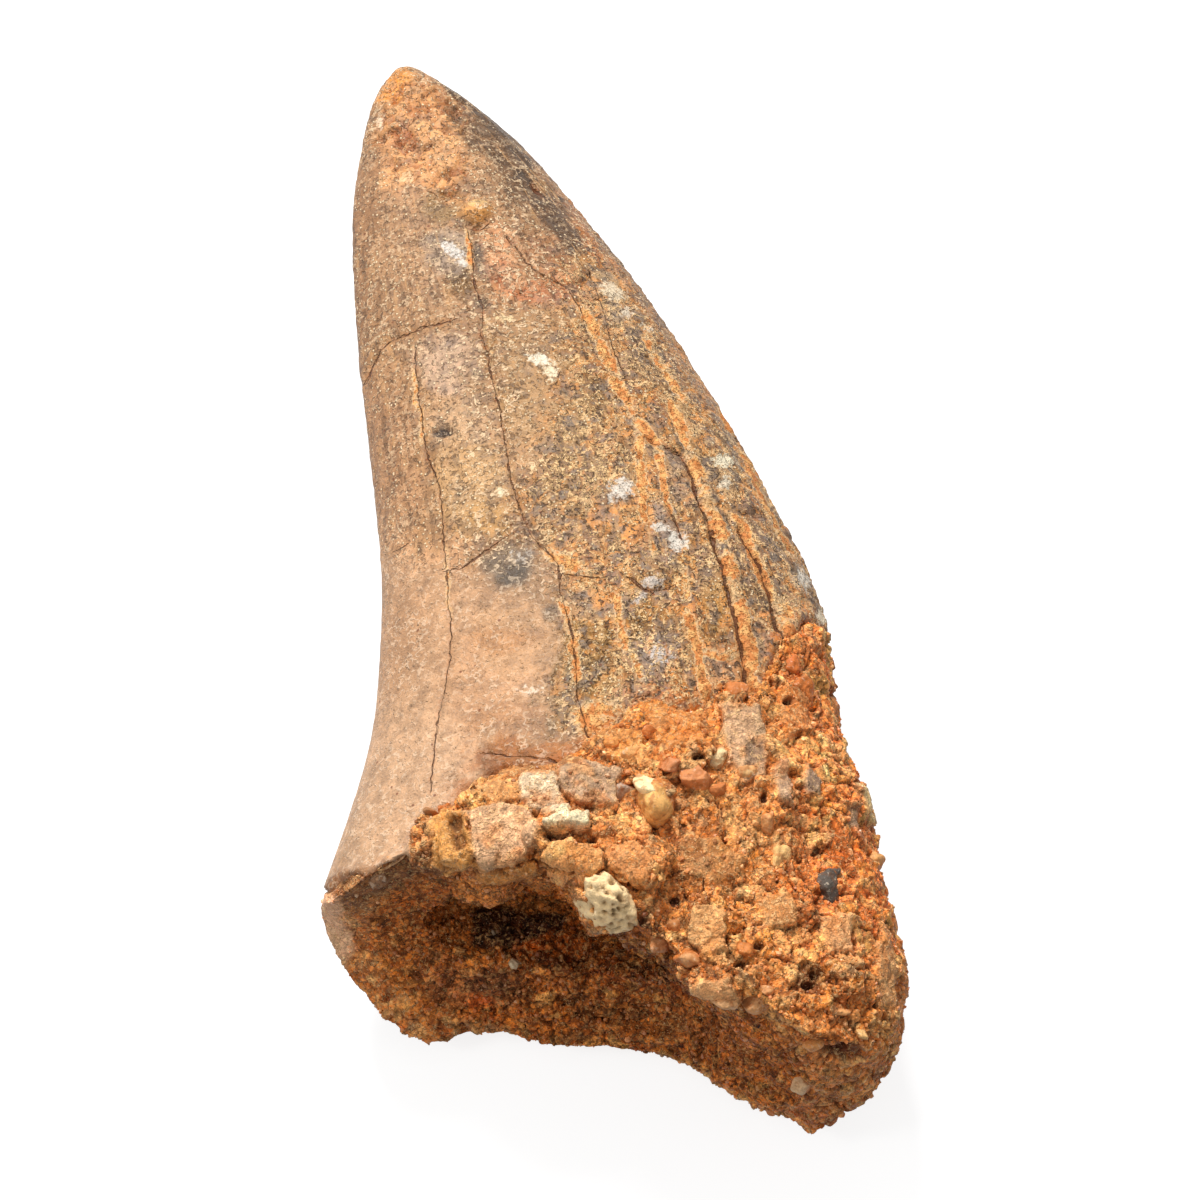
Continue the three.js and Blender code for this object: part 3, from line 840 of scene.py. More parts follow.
def crown_values(marks, points):
    """The crown's colours and relief, and how strongly each of its patterns shows, for its material."""
    x, y = marks.place.T
    loose = copy.copy(marks)
    loose.place = marks.place + 11 * noises(points, 2.2, (21, 24), rough)
    enamel = 1 - loose.area(DENTINE_AREA, 16, 10)
    shoulder = loose.area(SHOULDER_AREA, 14, 8)
    right = loose.area(RIGHT_AREA, 22, 10)
    tip = loose.area(TIP_AREA, 8, 8)
    off, along = loose.crack(DARK_BAND)
    band = (1 - ramp(np.abs(off) + marks.ragged(4), 9, 20)) * ramp(along, 0, 30)
    tone = np.clip(0.4 + 0.7 * rough(points, 5.0, 3)[:, None], 0, 1)
    tint = blend(linear((188, 150, 114)), linear((148, 114, 82)), tone)
    tint = blend(tint, blend(linear((178, 134, 88)), linear((128, 102, 74)), tone), right[:, None])
    for px, py, wide, tall, turn, colour, strength in CROWN_PATCHES:
        mask = (marks if max(wide, tall) <= 20 else loose).spot(px, py, wide, tall, turn, 0.35, 0.35)
        tint = laid(tint, colour, min(1.2 * strength, 1) * mask)
    # Small plates of enamel between the veins, with the larger patches there once more over them.
    grain = (points + 0.5 * noises(points, 1.2, (27, 28, 29))) * [1.0, 0.5, 1.0]
    near, following, own, lean = cells(grain, 1.5, 33)
    seam = 1 - ramp(following - near, 0.03, 0.2)
    plates = np.clip(right * enamel, 0, 1)
    tint = blend(tint, picked(own, PLATES), (0.4 * plates)[:, None])
    tint = laid(tint, (226, 162, 96), 0.8 * plates * seam * ramp(own, 0.3, 0.5))
    for px, py, wide, tall, turn, colour, strength in CROWN_PATCHES:
        if px > 560 and py > 430:
            mask = marks.spot(px, py, wide, tall, turn, 0.3, 0.35)
            tint = laid(tint, colour, 0.7 * strength * mask * (1 - 0.6 * seam))
    # Lumps on the worn tip and on the peach-coloured spot below it, with painted shade in the dips between
    # them and painted highlights on their raised facets, and smears beside them.
    near, following, _, lump_lean = cells(points + 0.4 * noises(points, 0.9, (44, 45, 46)), 1.25, 47)
    coarse = np.maximum(tip, 0.6 * marks.area(PEACH_AREA, 8, 8))
    dip = 1 - ramp(following - near, 0.0, 0.22)
    tint = laid(tint, (152, 92, 52), 0.75 * coarse * dip)
    tint = laid(tint, (248, 204, 164), 0.65 * coarse * ramp(lump_lean, 0.0, 0.5))
    smear = ramp(noise(flow_place(points) * [1, 2, 1], 1.1, 14), -0.15, 0.15) * band
    tint = laid(tint, (86, 64, 44), 0.85 * smear)
    # Stains next to the crust, and sand on the rim at the left.
    bare = (1 - enamel)[:, None]
    stain = crust_cover(points, 2.2) * ramp(x, 425, 480) * ramp(rough(points, 1.6, 37), -0.5, 0.3)
    tint = laid(tint, (190, 122, 66), 0.75 * stain)
    tint = tint * (1 + 0.13 * bare * rough(points, 2.6, 39)[:, None])
    sanded = ramp(y - np.interp(x, *RIM_LINE) + 6 * rough(points, 1.1, 48), -14, 3) * (1 - ramp(x, 440, 470))
    sand = linear((158, 106, 64)) * (1 + 0.35 * rough(points, 0.6, 93))[:, None]
    tint = blend(tint, sand, (0.85 * sanded)[:, None])
    # The balance of colour, by region.
    upper = (1 - ramp(y, 300, 480))[:, None]
    low = (ramp(x, 560, 600) * ramp(y, 560, 610))[:, None]
    tint = deepened(tint, (0.89, 0.81, 0.68), 1.1) * (1 - np.array([0.16, 0.11, 0.05]) * bare)
    for share, change in ((upper, (-0.11, -0.13, -0.13)), (tip[:, None], (0.05, -0.01, -0.17)),
                          (low, (0.04, 0.0, -0.07))):
        tint = tint * (1 + np.array(change) * share)
    vein_tint = blend(linear((242, 206, 164)), linear((244, 198, 134)), (right * 0.75)[:, None])
    vein_tint = blend(vein_tint, linear((244, 216, 184)), bare) * (1 - 0.1 * upper)
    fleck, fleck_tint = flecks_on(marks)
    values = {
        "net": np.clip(0.35 + 0.65 * right, 0, 1) * (1 - 0.75 * (1 - enamel)) * (1 - 0.45 * shoulder),
        "worm": np.clip(0.9 - 0.5 * (1 - enamel), 0, 1) * (1 - 0.8 * tip) * (1 - 0.4 * shoulder)
        * ramp(rough(points, 4.0, 49), -0.9, 0.4),
        "streak": np.clip(0.25 + 0.6 * right * enamel + 0.5 * shoulder + 0.9 * band, 0, 1) * enamel,
        # speck: how thickly the cream specks show, which are painted highlights.
        "speck": np.clip(0.5 + 0.5 * enamel, 0, 1) * (1 - 0.8 * (1 - enamel)),
        "fleck": fleck,
        "clay": clay_on(marks, points),
        "enamel": np.clip(enamel, 0, 1),
    }
    relief = plates * (0.1 * lean - 0.1 * seam) + coarse * (0.3 * lump_lean - 0.2 * dip)
    relief += (0.4 + 0.6 * enamel) * 0.045 * rough(points, 0.75, 35)
    return values, {"tint": tint, "vein_tint": vein_tint, "fleck_tint": fleck_tint}, tip, relief


def crack_values(marks):
    """For each point the signed distance in mm from its nearest crack, and how open that crack is."""
    best = np.full(len(marks.place), 1e9)
    distance = best.copy()
    weight = np.zeros(len(best))
    for line, openness in CRACKS:
        signed, from_end = marks.crack(line)
        signed = (signed + marks.ragged(1.8)) * PIXEL_MM
        nearer = np.abs(signed) < best
        best = np.where(nearer, np.abs(signed), best)
        distance = np.where(nearer, signed, distance)
        weight = np.where(nearer, openness * ramp(from_end, -2, 16), weight)
    return np.clip(distance, -2, 2), weight * ramp(-best, -1.6, -0.9)


def flow_place(points):
    """A place along the crown's own grain: across from edge to edge, along, and the side."""
    left, right = edges_at(points[:, 1])
    across = (points[:, 0] - left) / np.maximum(right - left, 4.0)
    side = points[:, 2] < thickness_at(points[:, 1])[1]
    return np.stack([across * 28, 0.13 * points[:, 1], 40.0 * side], axis=1)


def bare_rim(points):
    """1 on the left of the upper side, where there is no crust and the bare tooth runs on to the break."""
    above = points[:, 2] - thickness_at(points[:, 1])[1]
    left = 1 - ramp(points[:, 0] + 0.7 * noise(points, 2.4, 43), -13.6, -12.2)
    across, down = photo_place(points).T
    sanded = ramp(down - np.interp(across, *RIM_LINE) + 5 * rough(points, 1.1, 48), -3, 4)
    return left * ramp(above, -3.2, -1.8) * (1 - inside_break(points)) * (1 - sanded)


def make_crown(node, material):
    """The tooth itself, from tip to break, sunk a little where the crust lies on it."""
    skin = remeshed(node, CROWN_VOXEL)
    skin.smooth(CROWN_SMOOTHING, 1 - 0.6 * crust_cover(skin.points))
    skin = skin.kept(crust_cover(skin.points) * (1 - bare_rim(skin.points)) < 0.93)
    points, normal = skin.points, skin.normals()
    cover = crust_cover(points) * (1 - bare_rim(points))
    marks = Marks(points, marked_place(points, normal))
    values, colours, tip, relief = crown_values(marks, points)
    distance, weight = crack_values(marks)
    flow = flow_place(points)
    knob = marks.spot(*KNOB, 0.45, 0.15)
    crease = marks.spot(*KNOB_CREASE, 0.5, 0.2)
    chip = marks.spot(*CHIP, 0.5, 0.25)
    pit = cells(points, 1.2, 11)[0]
    streaky = values["streak"]
    lift = relief + 0.07 * streaky * noise(flow, 1.1, 13)
    lift += 0.09 * streaky * rough(points, 1.7, 17) * ramp(marks.place[:, 0], 540, 700)
    lift -= CRACK_DEPTH * weight**2 * np.exp(-((distance / CRACK_HALF_WIDTH) ** 2))
    lift += 0.12 * weight * ramp(distance, 0.1, 0.6) * ramp(-distance, -2.0, -0.6)
    lift += 0.05 * np.clip(values["clay"] - 0.3, 0, 1)
    lift += tip * (0.2 * rough(points, 1.3, 15) - TIP_PIT_DEPTH * (1 - ramp(pit, 0.15, 0.4)))
    lift += KNOB_RISE * knob - KNOB_CREASE_DEPTH * crease - CHIP_DEPTH * chip
    lift -= CROWN_SINK * cover
    skin.points = points + normal * lift[:, None]
    skin.points[:, 2] = np.maximum(skin.points[:, 2], 0.02)
    values.update(crack_distance=distance, crack_weight=weight)
    colours["flow"] = flow * MM
    points, faces, source = closed_inside(skin)
    colours = {key: rows[source] for key, rows in colours.items()}
    values = {key: row[source] for key, row in values.items()}
    piece = add_piece("worn_tooth", points, faces, material, colours, values)
    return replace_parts(piece, "tooth")


def closed_inside(skin):
    """The skin closed by a cone from each open rim to a point deep in the tooth, and each point's own row."""
    ordered = np.concatenate([skin.faces[:, [n, (n + 1) % 4]] for n in range(4)])
    key = ordered @ [len(skin.points), 1]
    open_edges = ordered[~np.isin(key, ordered @ [1, len(skin.points)])]
    following = {int(b): int(a) for a, b in open_edges}
    points, faces, source = list(skin.points), skin.faces.tolist(), list(range(len(skin.points)))
    while following:
        start, here = following.popitem()
        loop = [start]
        while here in following:
            loop.append(here)
            here = following.pop(here)
        if here == start and len(loop) > 2:
            middle = skin.points[loop].mean(axis=0) + [0, 4, 0]
            middle[2] = thickness_at(middle[1:2])[1][0]
            faces += [[a, b, len(points)] for a, b in zip(loop, loop[1:] + loop[:1])]
            source.append(loop[0])
            points.append(middle)
    return np.array(points), faces, source


def inside_break(points):
    """1 on the broken face and in the hollow, 0 on the outer skin."""
    left, right = edges_at(points[:, 1])
    half, middle = thickness_at(points[:, 1])
    across = (points[:, 0] - (left + right) / 2) / np.maximum((right - left) / 2, 1)
    up = (points[:, 2] - middle) / np.maximum(half, 0.5)
    reach = (np.abs(across) ** 2.2 + np.abs(up) ** 2.2) ** (1 / 2.2)
    return (1 - ramp(reach, 0.8, 0.93)) * ramp(-points[:, 1], 12, 16)


def crust_form(points, broken, side):
    """How far the crust stands out, in mm, and each crumb's own numbers. side is 1 on its worn sides."""
    swirl = noises(points, 3.4, (54, 56, 57))
    wander = 0.25 * noises(points, 0.8, (51, 52, 53))
    near, following, own, lean = cells(points + wander + 1.1 * swirl, 1.5, 55)
    small, small_next, small_own, small_lean = cells(points + 0.6 * wander + 0.5 * swirl, 0.62, 59)
    size = 1 - 0.25 * broken
    valley = (1 - np.abs(noise(points, 2.3, 61))) ** 6
    seam = 1 - ramp(following - near, 0.0, 0.13)
    small_seam = 1 - ramp(small_next - small, 0.0, 0.16)
    loose = ramp(noise(points, 3.0, 67), -0.5, 0.2)
    lift = 0.42 * rough(points, 3.8, 63, 2) + size * 0.36 * (1 - 0.3 * side) * lean
    lift += 0.17 * (0.35 + 0.75 * loose) * (1 - 0.65 * side) * small_lean
    lift -= size * 0.24 * seam * ramp(own, 0.2, 0.5) + 0.1 * small_seam * ramp(small_own, 0.3, 0.6)
    lift -= (0.4 - 0.05 * broken) * valley
    lift += 0.07 * (1 - 0.6 * side) * rough(points, 0.45, 65, 2)
    return lift - 0.12, own, small_own


def crust_paint(marks, points, broken, own, small_own):
    """The crust's colours: rusty sand with ochre, cream and brown crumbs, darker on the broken face by its
    own darker earth and by painted shade.
    """
    tone = rough(points, 4.2, 81)[:, None]
    tint = blend(linear((172, 108, 60)), linear((228, 176, 122)), np.clip(0.45 + 0.8 * tone, 0, 1))
    tint = laid(tint, (206, 136, 64), 0.6 * ramp(rough(points, 3.0, 85), 0.1, 0.5))
    tint = laid(tint, RUST_DEEP, 0.6 * ramp(rough(points, 2.4, 83), 0.1, 0.55))
    tint = blend(tint, picked(own, CRUMBS), 0.6)
    tint = blend(tint, picked(small_own, CRUMBS), 0.45)
    tint = laid(tint, (238, 196, 142), 0.55 * ramp(rough(points, 1.7, 89), 0.3, 0.6))
    x, y = marks.place.T
    ruddy = (ramp(x, 750, 850) * (1 - ramp(y, 930, 980)))[:, None]
    tint = tint * (1 + np.array([0.34, 0.08, -0.02]) * ruddy)
    tint = tint * (1 - np.array([0.0, 0.08, 0.2]) * ramp(y, 930, 1010)[:, None])
    face = broken[:, None]
    light = ramp(rough(points, 2.0, 87), -0.3, 0.4)[:, None]
    # The broken face's darker earth, darkened further with painted shade.
    earth_and_shade = blend(linear((138, 88, 46)), linear((184, 126, 74)), light)
    earth_and_shade = blend(earth_and_shade, picked(small_own, CRUMBS) * 0.85, 0.5)
    tint = blend(tint, earth_and_shade, face)
    for outline, colour, strength in BREAK_SHADES:
        tint = laid(tint, colour, strength * marks.area(outline, 7, 8) * broken)
    for px, py, wide, tall, turn, colour, strength in FACE_PATCHES:
        mask = marks.spot(px, py, wide, tall, turn, 0.35, 0.35)
        tint = laid(tint, colour, strength * mask * broken)
    tint = tint * (1 + 0.4 * face * rough(points, 1.3, 84)[:, None])
    tint = tint * (1 + 0.2 * face * (1 - ramp(x, 440, 520))[:, None])
    return tint * (1 - np.array([0.12, 0.18, 0.32]) * face)


def crust_edge(points):
    """A ragged measure of how far a point is inside the crust."""
    return crust_cover(points) + 0.28 * rough(points, 1.5, 91)


def sunk_below(skin):
    """How far each point lies below the smoothed skin round it, in mm."""
    flat = skin.points
    for _ in range(HOLLOW_SMOOTHING):
        flat = 0.4 * flat + 0.6 * skin.averaged(flat)
    return ((flat - skin.points) * skin.normals()).sum(axis=1)


def make_crust(node, materials):
    """The crust of cemented sand, in three pieces: above, below, and the broken face with the hollow."""
    skin = remeshed(node, CRUST_VOXEL)
    skin.smooth(CRUST_SMOOTHING)
    skin = skin.kept(crust_edge(skin.points) > 0.12)
    points, normal = skin.points, skin.normals()
    inside = ramp(crust_edge(points), 0.14, 0.62)
    broken = inside_break(points)
    side = (1 - ramp(np.abs(normal[:, 2]), 0.2, 0.6)) * (1 - broken)
    lift, own, small_own = crust_form(points, broken, side)
    marks = Marks(points, marked_place(points, normal))
    tint = crust_paint(marks, points, broken, own, small_own)
    bare = bare_rim(points)
    pale = marks.area(PALE_EDGE, 5, 7)
    lift = lift * (1 - 0.6 * marks.area(SMOOTH_RIM, 14, 8)) * (1 - bare) * (1 - 0.5 * pale)
    plated = np.maximum(bare, 0.7 * pale)
    rim = marks.area(RIM_SAND, 6, 6) * (1 - bare) * (1 - broken)
    lift = lift - 0.12 * rim
    rim_tint = linear((112, 74, 46)) * (1 + 0.3 * rough(points, 0.7, 93))[:, None]
    tint = blend(tint, rim_tint, 0.85 * rim[:, None])
    # The pale rim at the left: pale dentine, brightened with painted light.
    tint = laid(tint, (252, 198, 166), 0.85 * pale)
    tint = laid(tint, (216, 172, 138), 0.95 * ramp(bare, 0.5, 0.95))
    upper = (1 - broken) * np.maximum(ramp(normal[:, 2], -0.2, 0.1), 0.2)
    mottle = 0.3 * rough(points, 0.9, 95)[:, None]
    stain = 0.55 * ramp(rough(points, 1.4, 97), 0.1, 0.5)[:, None]
    # Raised and sunk plates; the dark paint of the sunk ones is painted shade in their hollows.
    for outline, rise, colour, strength in CRUST_PLATES:
        plate = marks.area(outline, 2.5, 5) * upper
        painted = marks.area(outline, 3.0, 5) * upper
        calm = 0.65 if rise > 0 else 0.2
        plated = np.maximum(plated, calm * plate)
        lift = lift * (1 - calm * plate) + rise * plate
        paint = np.clip(linear(colour) * (1 + mottle), 0, 1)
        if rise > 0.2:
            paint = blend(paint, linear((196, 120, 56)), stain)
        tint = blend(tint, paint, strength * painted[:, None])
    in_view = ramp(normal @ -VIEW_AHEAD, 0.0, 0.2)
    for px, py, wide, tall in HOLES:
        hole = marks.spot(px, py, wide, tall, 0.0, 0.5, 0.35) * in_view
        lift -= HOLE_DEPTH * hole
        # Holes are sunk and painted dark: painted shade inside them.
        tint = laid(tint, (58, 24, 8), 0.9 * hole)
    face = ramp(broken, 0.2, 0.7)
    # Painted shade round the hollow of the root, and near-black painted shade deep in it.
    shade = marks.area(PIT_SHADOW, 9, 6) * face
    pit = marks.area(DEEP_PIT_SHADE, 3, 4) * face
    tint = tint * (1 - 0.28 * shade)[:, None]
    tint = laid(tint, (40, 14, 4), 0.92 * pit)
    lift = lift * inside - CRUST_EDGE_SINK * (1 - inside) - BARE_SINK * bare
    skin.points = points + normal * lift[:, None]
    skin.points[:, 2] = np.maximum(skin.points[:, 2], 0.0)
    sunk = sunk_below(skin)
    gains = blend(np.array([1.38, 1.12, 0.74]), np.array([1.62, 1.14, 0.6]), broken[:, None])
    gains = blend(gains, np.array([1.14, 1.08, 0.9]), np.clip(1.5 * plated, 0, 1)[:, None])
    tint = deepened(tint, gains, 1.0)
    values = {
        # hollow lays painted shade in the crust's hollows, ridge painted highlights on its ridges.
        "hollow": ramp(sunk, 0.01, 0.16) * (1 - 0.6 * plated),
        "ridge": ramp(-sunk, 0.02, 0.16) * (1 - 0.6 * plated),
        "crumbly": 1 - plated,
        "broken": broken,
    }
    on_face = broken[skin.faces].mean(axis=1) > 0.5
    above = (points[:, 2] > thickness_at(points[:, 1])[1])[skin.faces].mean(axis=1) > 0.5
    for name, material, faces in (("crust_upper", materials[0], skin.faces[~on_face & above]),
                                  ("crust_under", materials[0], skin.faces[~on_face & ~above]),
                                  ("broken_face", materials[1], skin.faces[on_face])):
        used, places = np.unique(faces, return_inverse=True)
        faces = places.reshape(faces.shape)
        kept = {key: row[used] for key, row in values.items()}
        add_piece(name, skin.points[used], faces, material, {"tint": tint[used]}, kept)
    return skin, {**values, "tint": tint}


# Stones and grains.


def ball_mesh(detail):
    """Points and triangles of a ball of radius 1."""
    ball = bmesh.new()
    bmesh.ops.create_icosphere(ball, subdivisions=detail, radius=1.0)
    ball.verts.index_update()
    points = np.array([v.co for v in ball.verts])
    faces = np.array([[v.index for v in f.verts] for f in ball.faces])
    ball.free()
    return points, faces


def stone_shape(ball, random, sharpness):
    """A ball cut towards a random faceted stone, less where it isn't sharp."""
    facets = random.normal(size=(13, 3))
    facets /= np.linalg.norm(facets, axis=1)[:, None]
    depth = random.uniform(0.92 - min(sharpness, 24) * 0.011, 1.04, 13)
    facing = np.clip(ball @ facets.T, 0, None) / depth
    reach = (facing**sharpness).sum(axis=1) ** (-1 / sharpness)
    return ball * np.clip(reach, 0.5, 1.4)[:, None]


def frame_on(normal, turn):
    """Three axes at a place on the skin: two in the surface, turned from the view's right, and its normal."""
    right = VIEW_RIGHT - normal * (VIEW_RIGHT @ normal)
    right /= np.linalg.norm(right)
    down = np.cross(right, normal)
    c, s = math.cos(math.radians(turn)), math.sin(math.radians(turn))
    return np.stack([c * right + s * down, c * down - s * right, normal])


def stones_on(skin, outer, random):
    """Where each stone sits, the way up there, its turn, half sizes in mm, colour and sharpness."""
    normal = skin.normals()
    place = photo_place(skin.points)
    facing = normal @ -VIEW_AHEAD
    depth = (skin.points - CAMERA_PLACE) @ VIEW_AHEAD
    for x, y, wide, tall, turn, thick, colour, sharpness in PEBBLES:
        off = np.hypot(place[:, 0] - x, place[:, 1] - y)
        near = np.flatnonzero((off < 8) & (facing > 0.1))
        if len(near):
            near = near[depth[near] < depth[near].min() + 1.5]
            spot = near[off[near].argmin()]
            up = normal[near].mean(axis=0) - 0.6 * VIEW_AHEAD
            up /= np.linalg.norm(up)
            size = np.array([wide * PIXEL_MM, tall * PIXEL_MM, thick])
            yield skin.points[spot] - 0.5 * thick * up, up, turn, size, colour, sharpness
    away = np.flatnonzero((facing < -0.55) & (skin.points[:, 2] > 0.9) & outer)
    for spot in random.choice(away, FAR_STONES, replace=False):
        across = random.uniform(0.4, 1.15) ** 1.3
        size = across * np.array([1.0, random.uniform(0.6, 1.2), random.uniform(0.5, 0.8)])
        colour = [SAND, RUST, AMBER, CREAM, LILAC, PEACH, BROWN][random.integers(7)]
        centre = skin.points[spot] - 0.4 * size[2] * normal[spot]
        yield centre, normal[spot], random.uniform(0, 360), size, colour, 14


def make_pebbles(skin, outer, material, random):
    """The stones of the crust: those that the photograph shows, and others of their kind on the far side."""
    balls = {detail: ball_mesh(detail) for detail in (4, 5)}
    points, faces, tints, cleans = [], [], [], []
    count = 0
    for centre, up, turn, size, colour, sharpness in stones_on(skin, outer, random):
        ball, ball_faces = balls[5 if max(size) > 0.9 else 4]
        shape = stone_shape(ball, random, sharpness)
        height = shape[:, 2]
        shape = (shape * size) @ frame_on(up, turn) + centre
        out = shape - centre
        out /= np.linalg.norm(out, axis=1)[:, None]
        porous = float(colour == PORE_CREAM)
        clean = float(colour in (PORE_CREAM, SLATE_STONE))
        dent = 1 - ramp(cells(shape, 0.55, 107)[0], 0.2, 0.5)
        lump = cells(shape, 0.8, 111)[0]
        relief = 0.14 * rough(shape, 0.9, 101) + 0.07 * rough(shape, 0.35, 103)
        relief += porous * (0.5 * (0.5 - lump) - 0.5 * dent)
        shape = shape + out * relief[:, None]
        faces.append(ball_faces + count)
        count += len(ball)
        points.append(shape)
        tint = np.tile(linear(colour), (len(ball), 1))
        stained = np.clip(0.3 * rough(shape, 0.7, 105) + 0.1, 0, 1) * (1 - clean)
        tint = laid(tint, RUST, stained)
        coated = 1 - ramp(height + 0.35 * rough(shape, 0.6, 109) + 0.7 * clean, 0.25, 0.65)
        tint = laid(tint, (190, 112, 52), 0.9 * coated) * np.array([1.08, 1.0, 0.84])
        tints.append(laid(tint, (122, 92, 58), 0.85 * porous * dent))
        cleans.append(np.full(len(ball), clean))
    points = np.concatenate(points)
    points[:, 2] = np.maximum(points[:, 2], 0.0)
    tint = np.clip(np.concatenate(tints), 0, 1)
    values = {"clean": np.concatenate(cleans)}
    add_piece("pebbles", points, np.concatenate(faces), material, {"tint": tint}, values)


def make_grains(name, centres, normal, under, random, material):
    """Grains of sand, half sunk in the crust: small uneven polyhedra, each of a colour near that under it."""
    ball, ball_faces = ball_mesh(1)
    count = len(centres)
    turns = np.linalg.qr(random.normal(size=(count, 3, 3)))[0]
    radius = GRAIN_RADIUS + GRAIN_SPREAD * random.random(count) ** 3
    stretch = random.uniform(0.6, 1.3, (count, 1, 3))
    uneven = random.uniform(0.75, 1.15, (count, len(ball), 1))
    shape = np.einsum("nij,nkj->nki", turns, ball * stretch * uneven) * radius[:, None, None]
    points = centres[:, None] + normal[:, None] * (0.15 * radius)[:, None, None] + shape
    faces = ball_faces[None] + (np.arange(count) * len(ball))[:, None, None]
    flip = np.linalg.det(turns) < 0
    faces[flip] = faces[flip][:, :, ::-1]
    grain_tint = blend(under, picked(0.92 * random.random(count), CRUMBS), 0.3)
    grain_tint = grain_tint * random.uniform(0.7, 1.35, (count, 1))
    points = points.reshape(-1, 3)
    points[:, 2] = np.maximum(points[:, 2], 0.0)
    tint = np.repeat(np.clip(grain_tint, 0, 1), len(ball), axis=0)
    piece = add_piece(name, points, faces.reshape(-1, 3), material, {"tint": tint}, smooth=False)
    side = math.ceil(math.sqrt(count))
    cell = np.stack([np.arange(count) % side, np.arange(count) // side], axis=1) + 0.5
    spots = (cell[:, None] + 0.42 * ball[ball_faces.ravel()][None, :, :2]) / side
    layer = piece.data.uv_layers.new(name="OFBake")
    layer.data.foreach_set("uv", spots.astype(np.float32).ravel())


def scatter(skin, tint, count, weight, random):
    """Random places on the skin, more of them where weight is high, with their normals and colours."""
    quads = skin.points[skin.faces]
    size = np.linalg.norm(np.cross(quads[:, 2] - quads[:, 0], quads[:, 3] - quads[:, 1]), axis=1)
    chance = size * weight[skin.faces].mean(axis=1)
    chosen = random.choice(len(quads), count, p=chance / chance.sum())
    u, v = random.random((2, count, 1))
    corner = quads[chosen]
    place = blend(blend(corner[:, 0], corner[:, 1], u), blend(corner[:, 3], corner[:, 2], u), v)
    first = skin.faces[chosen, 0]
    return place, skin.normals()[first], tint[first]


# Materials.


class Nodes:
    """Short names for building a material's nodes."""

    def __init__(self, name):
        self.material = bpy.data.materials.new(name)
        self.material.use_nodes = True
        self.tree = self.material.node_tree
        self.shader = self.tree.nodes["Principled BSDF"]
        self.place = self.tree.nodes.new("ShaderNodeTexCoord").outputs["Object"]

    def set(self, socket, value):
        """Links a socket to another one, or gives it a number or a screen colour."""
        if isinstance(value, bpy.types.NodeSocket):
            self.tree.links.new(value, socket)
        elif isinstance(value, tuple) and len(value) == 3 and socket.type == "RGBA":
            socket.default_value = (*linear(value), 1.0)
        else:
            socket.default_value = value

    def painted(self, name, kind="Fac"):
        """A value or a colour that is painted on the mesh."""
        node = self.tree.nodes.new("ShaderNodeAttribute")
        node.attribute_name = name
        return node.outputs[kind]

    def math(self, operation, a, b=0.0):
        node = self.tree.nodes.new("ShaderNodeMath")
        node.operation = operation
        self.set(node.inputs[0], a)
        self.set(node.inputs[1], b)
        return node.outputs[0]

    def times(self, *factors):
        product = factors[0]
        for factor in factors[1:]:
            product = self.math("MULTIPLY", product, factor)
        return product

    def plus(self, *terms):
        total = terms[0]
        for term in terms[1:]:
            total = self.math("ADD", total, term)
        return total

    def ramp(self, value, low, high, to_low=0.0, to_high=1.0):
        node = self.tree.nodes.new("ShaderNodeMapRange")
        node.interpolation_type = "SMOOTHSTEP"
        for socket, number in zip(node.inputs, (value, low, high, to_low, to_high)):
            self.set(socket, number)
        return node.outputs["Result"]

    def mix(self, a, b, share, kind="MIX"):
        node = self.tree.nodes.new("ShaderNodeMix")
        node.data_type = "RGBA"
        node.blend_type = kind
        self.set(node.inputs[0], share)
        self.set(node.inputs[6], a)
        self.set(node.inputs[7], b)
        return node.outputs[2]

    def warped(self, size, amount_mm):
        """The place on the object, pushed about by noise."""
        push = self.noise(size, 2.0).node
        node = self.tree.nodes.new("ShaderNodeVectorMath")
        node.operation = "MULTIPLY_ADD"
        self.set(node.inputs[0], push.outputs["Color"])
        node.inputs[1].default_value = (2 * amount_mm * MM,) * 3
        self.set(node.inputs[2], self.place)
        return node.outputs[0]

    def noise(self, size, detail, where=None, distortion=0.0):
        """Noise round 0.5 with one bump about every size millimetres."""
        node = self.tree.nodes.new("ShaderNodeTexNoise")
        node.inputs["Scale"].default_value = 1 / (size * MM)
        node.inputs["Detail"].default_value = detail
        node.inputs["Distortion"].default_value = distortion
        self.set(node.inputs["Vector"], where or self.place)
        return node.outputs["Fac"]

    def cells(self, size, where=None):
        """How far the nearest of many scattered centres is, which lie about size millimetres apart."""
        node = self.tree.nodes.new("ShaderNodeTexVoronoi")
        node.inputs["Scale"].default_value = 1 / (size * MM)
        self.set(node.inputs["Vector"], where or self.place)
        return node.outputs["Distance"]

    def worms(self, size, thin, where=None):
        """Thin wandering lines, where noise crosses its middle."""
        off = self.math("ABSOLUTE", self.math("SUBTRACT", self.noise(size, 2.0, where), 0.5))
        return self.ramp(off, 0.3 * thin, thin, 1.0, 0.0)

    def bump(self, height, depth_mm, strength):
        node = self.tree.nodes.new("ShaderNodeBump")
        node.inputs["Strength"].default_value = strength
        node.inputs["Distance"].default_value = depth_mm * MM
        self.set(node.inputs["Height"], height)
        self.set(self.shader.inputs["Normal"], node.outputs["Normal"])

    def lay(self, colour, *shares):
        """Lays a colour over the material's own, as thickly as the product of the shares says."""
        self.colour = self.mix(self.colour, colour, self.times(*shares))

    def finish(self, roughness, specular):
        self.set(self.shader.inputs["Base Color"], self.colour)
        self.set(self.shader.inputs["Roughness"], roughness)
        self.shader.inputs["Specular IOR Level"].default_value = specular
        return self.material


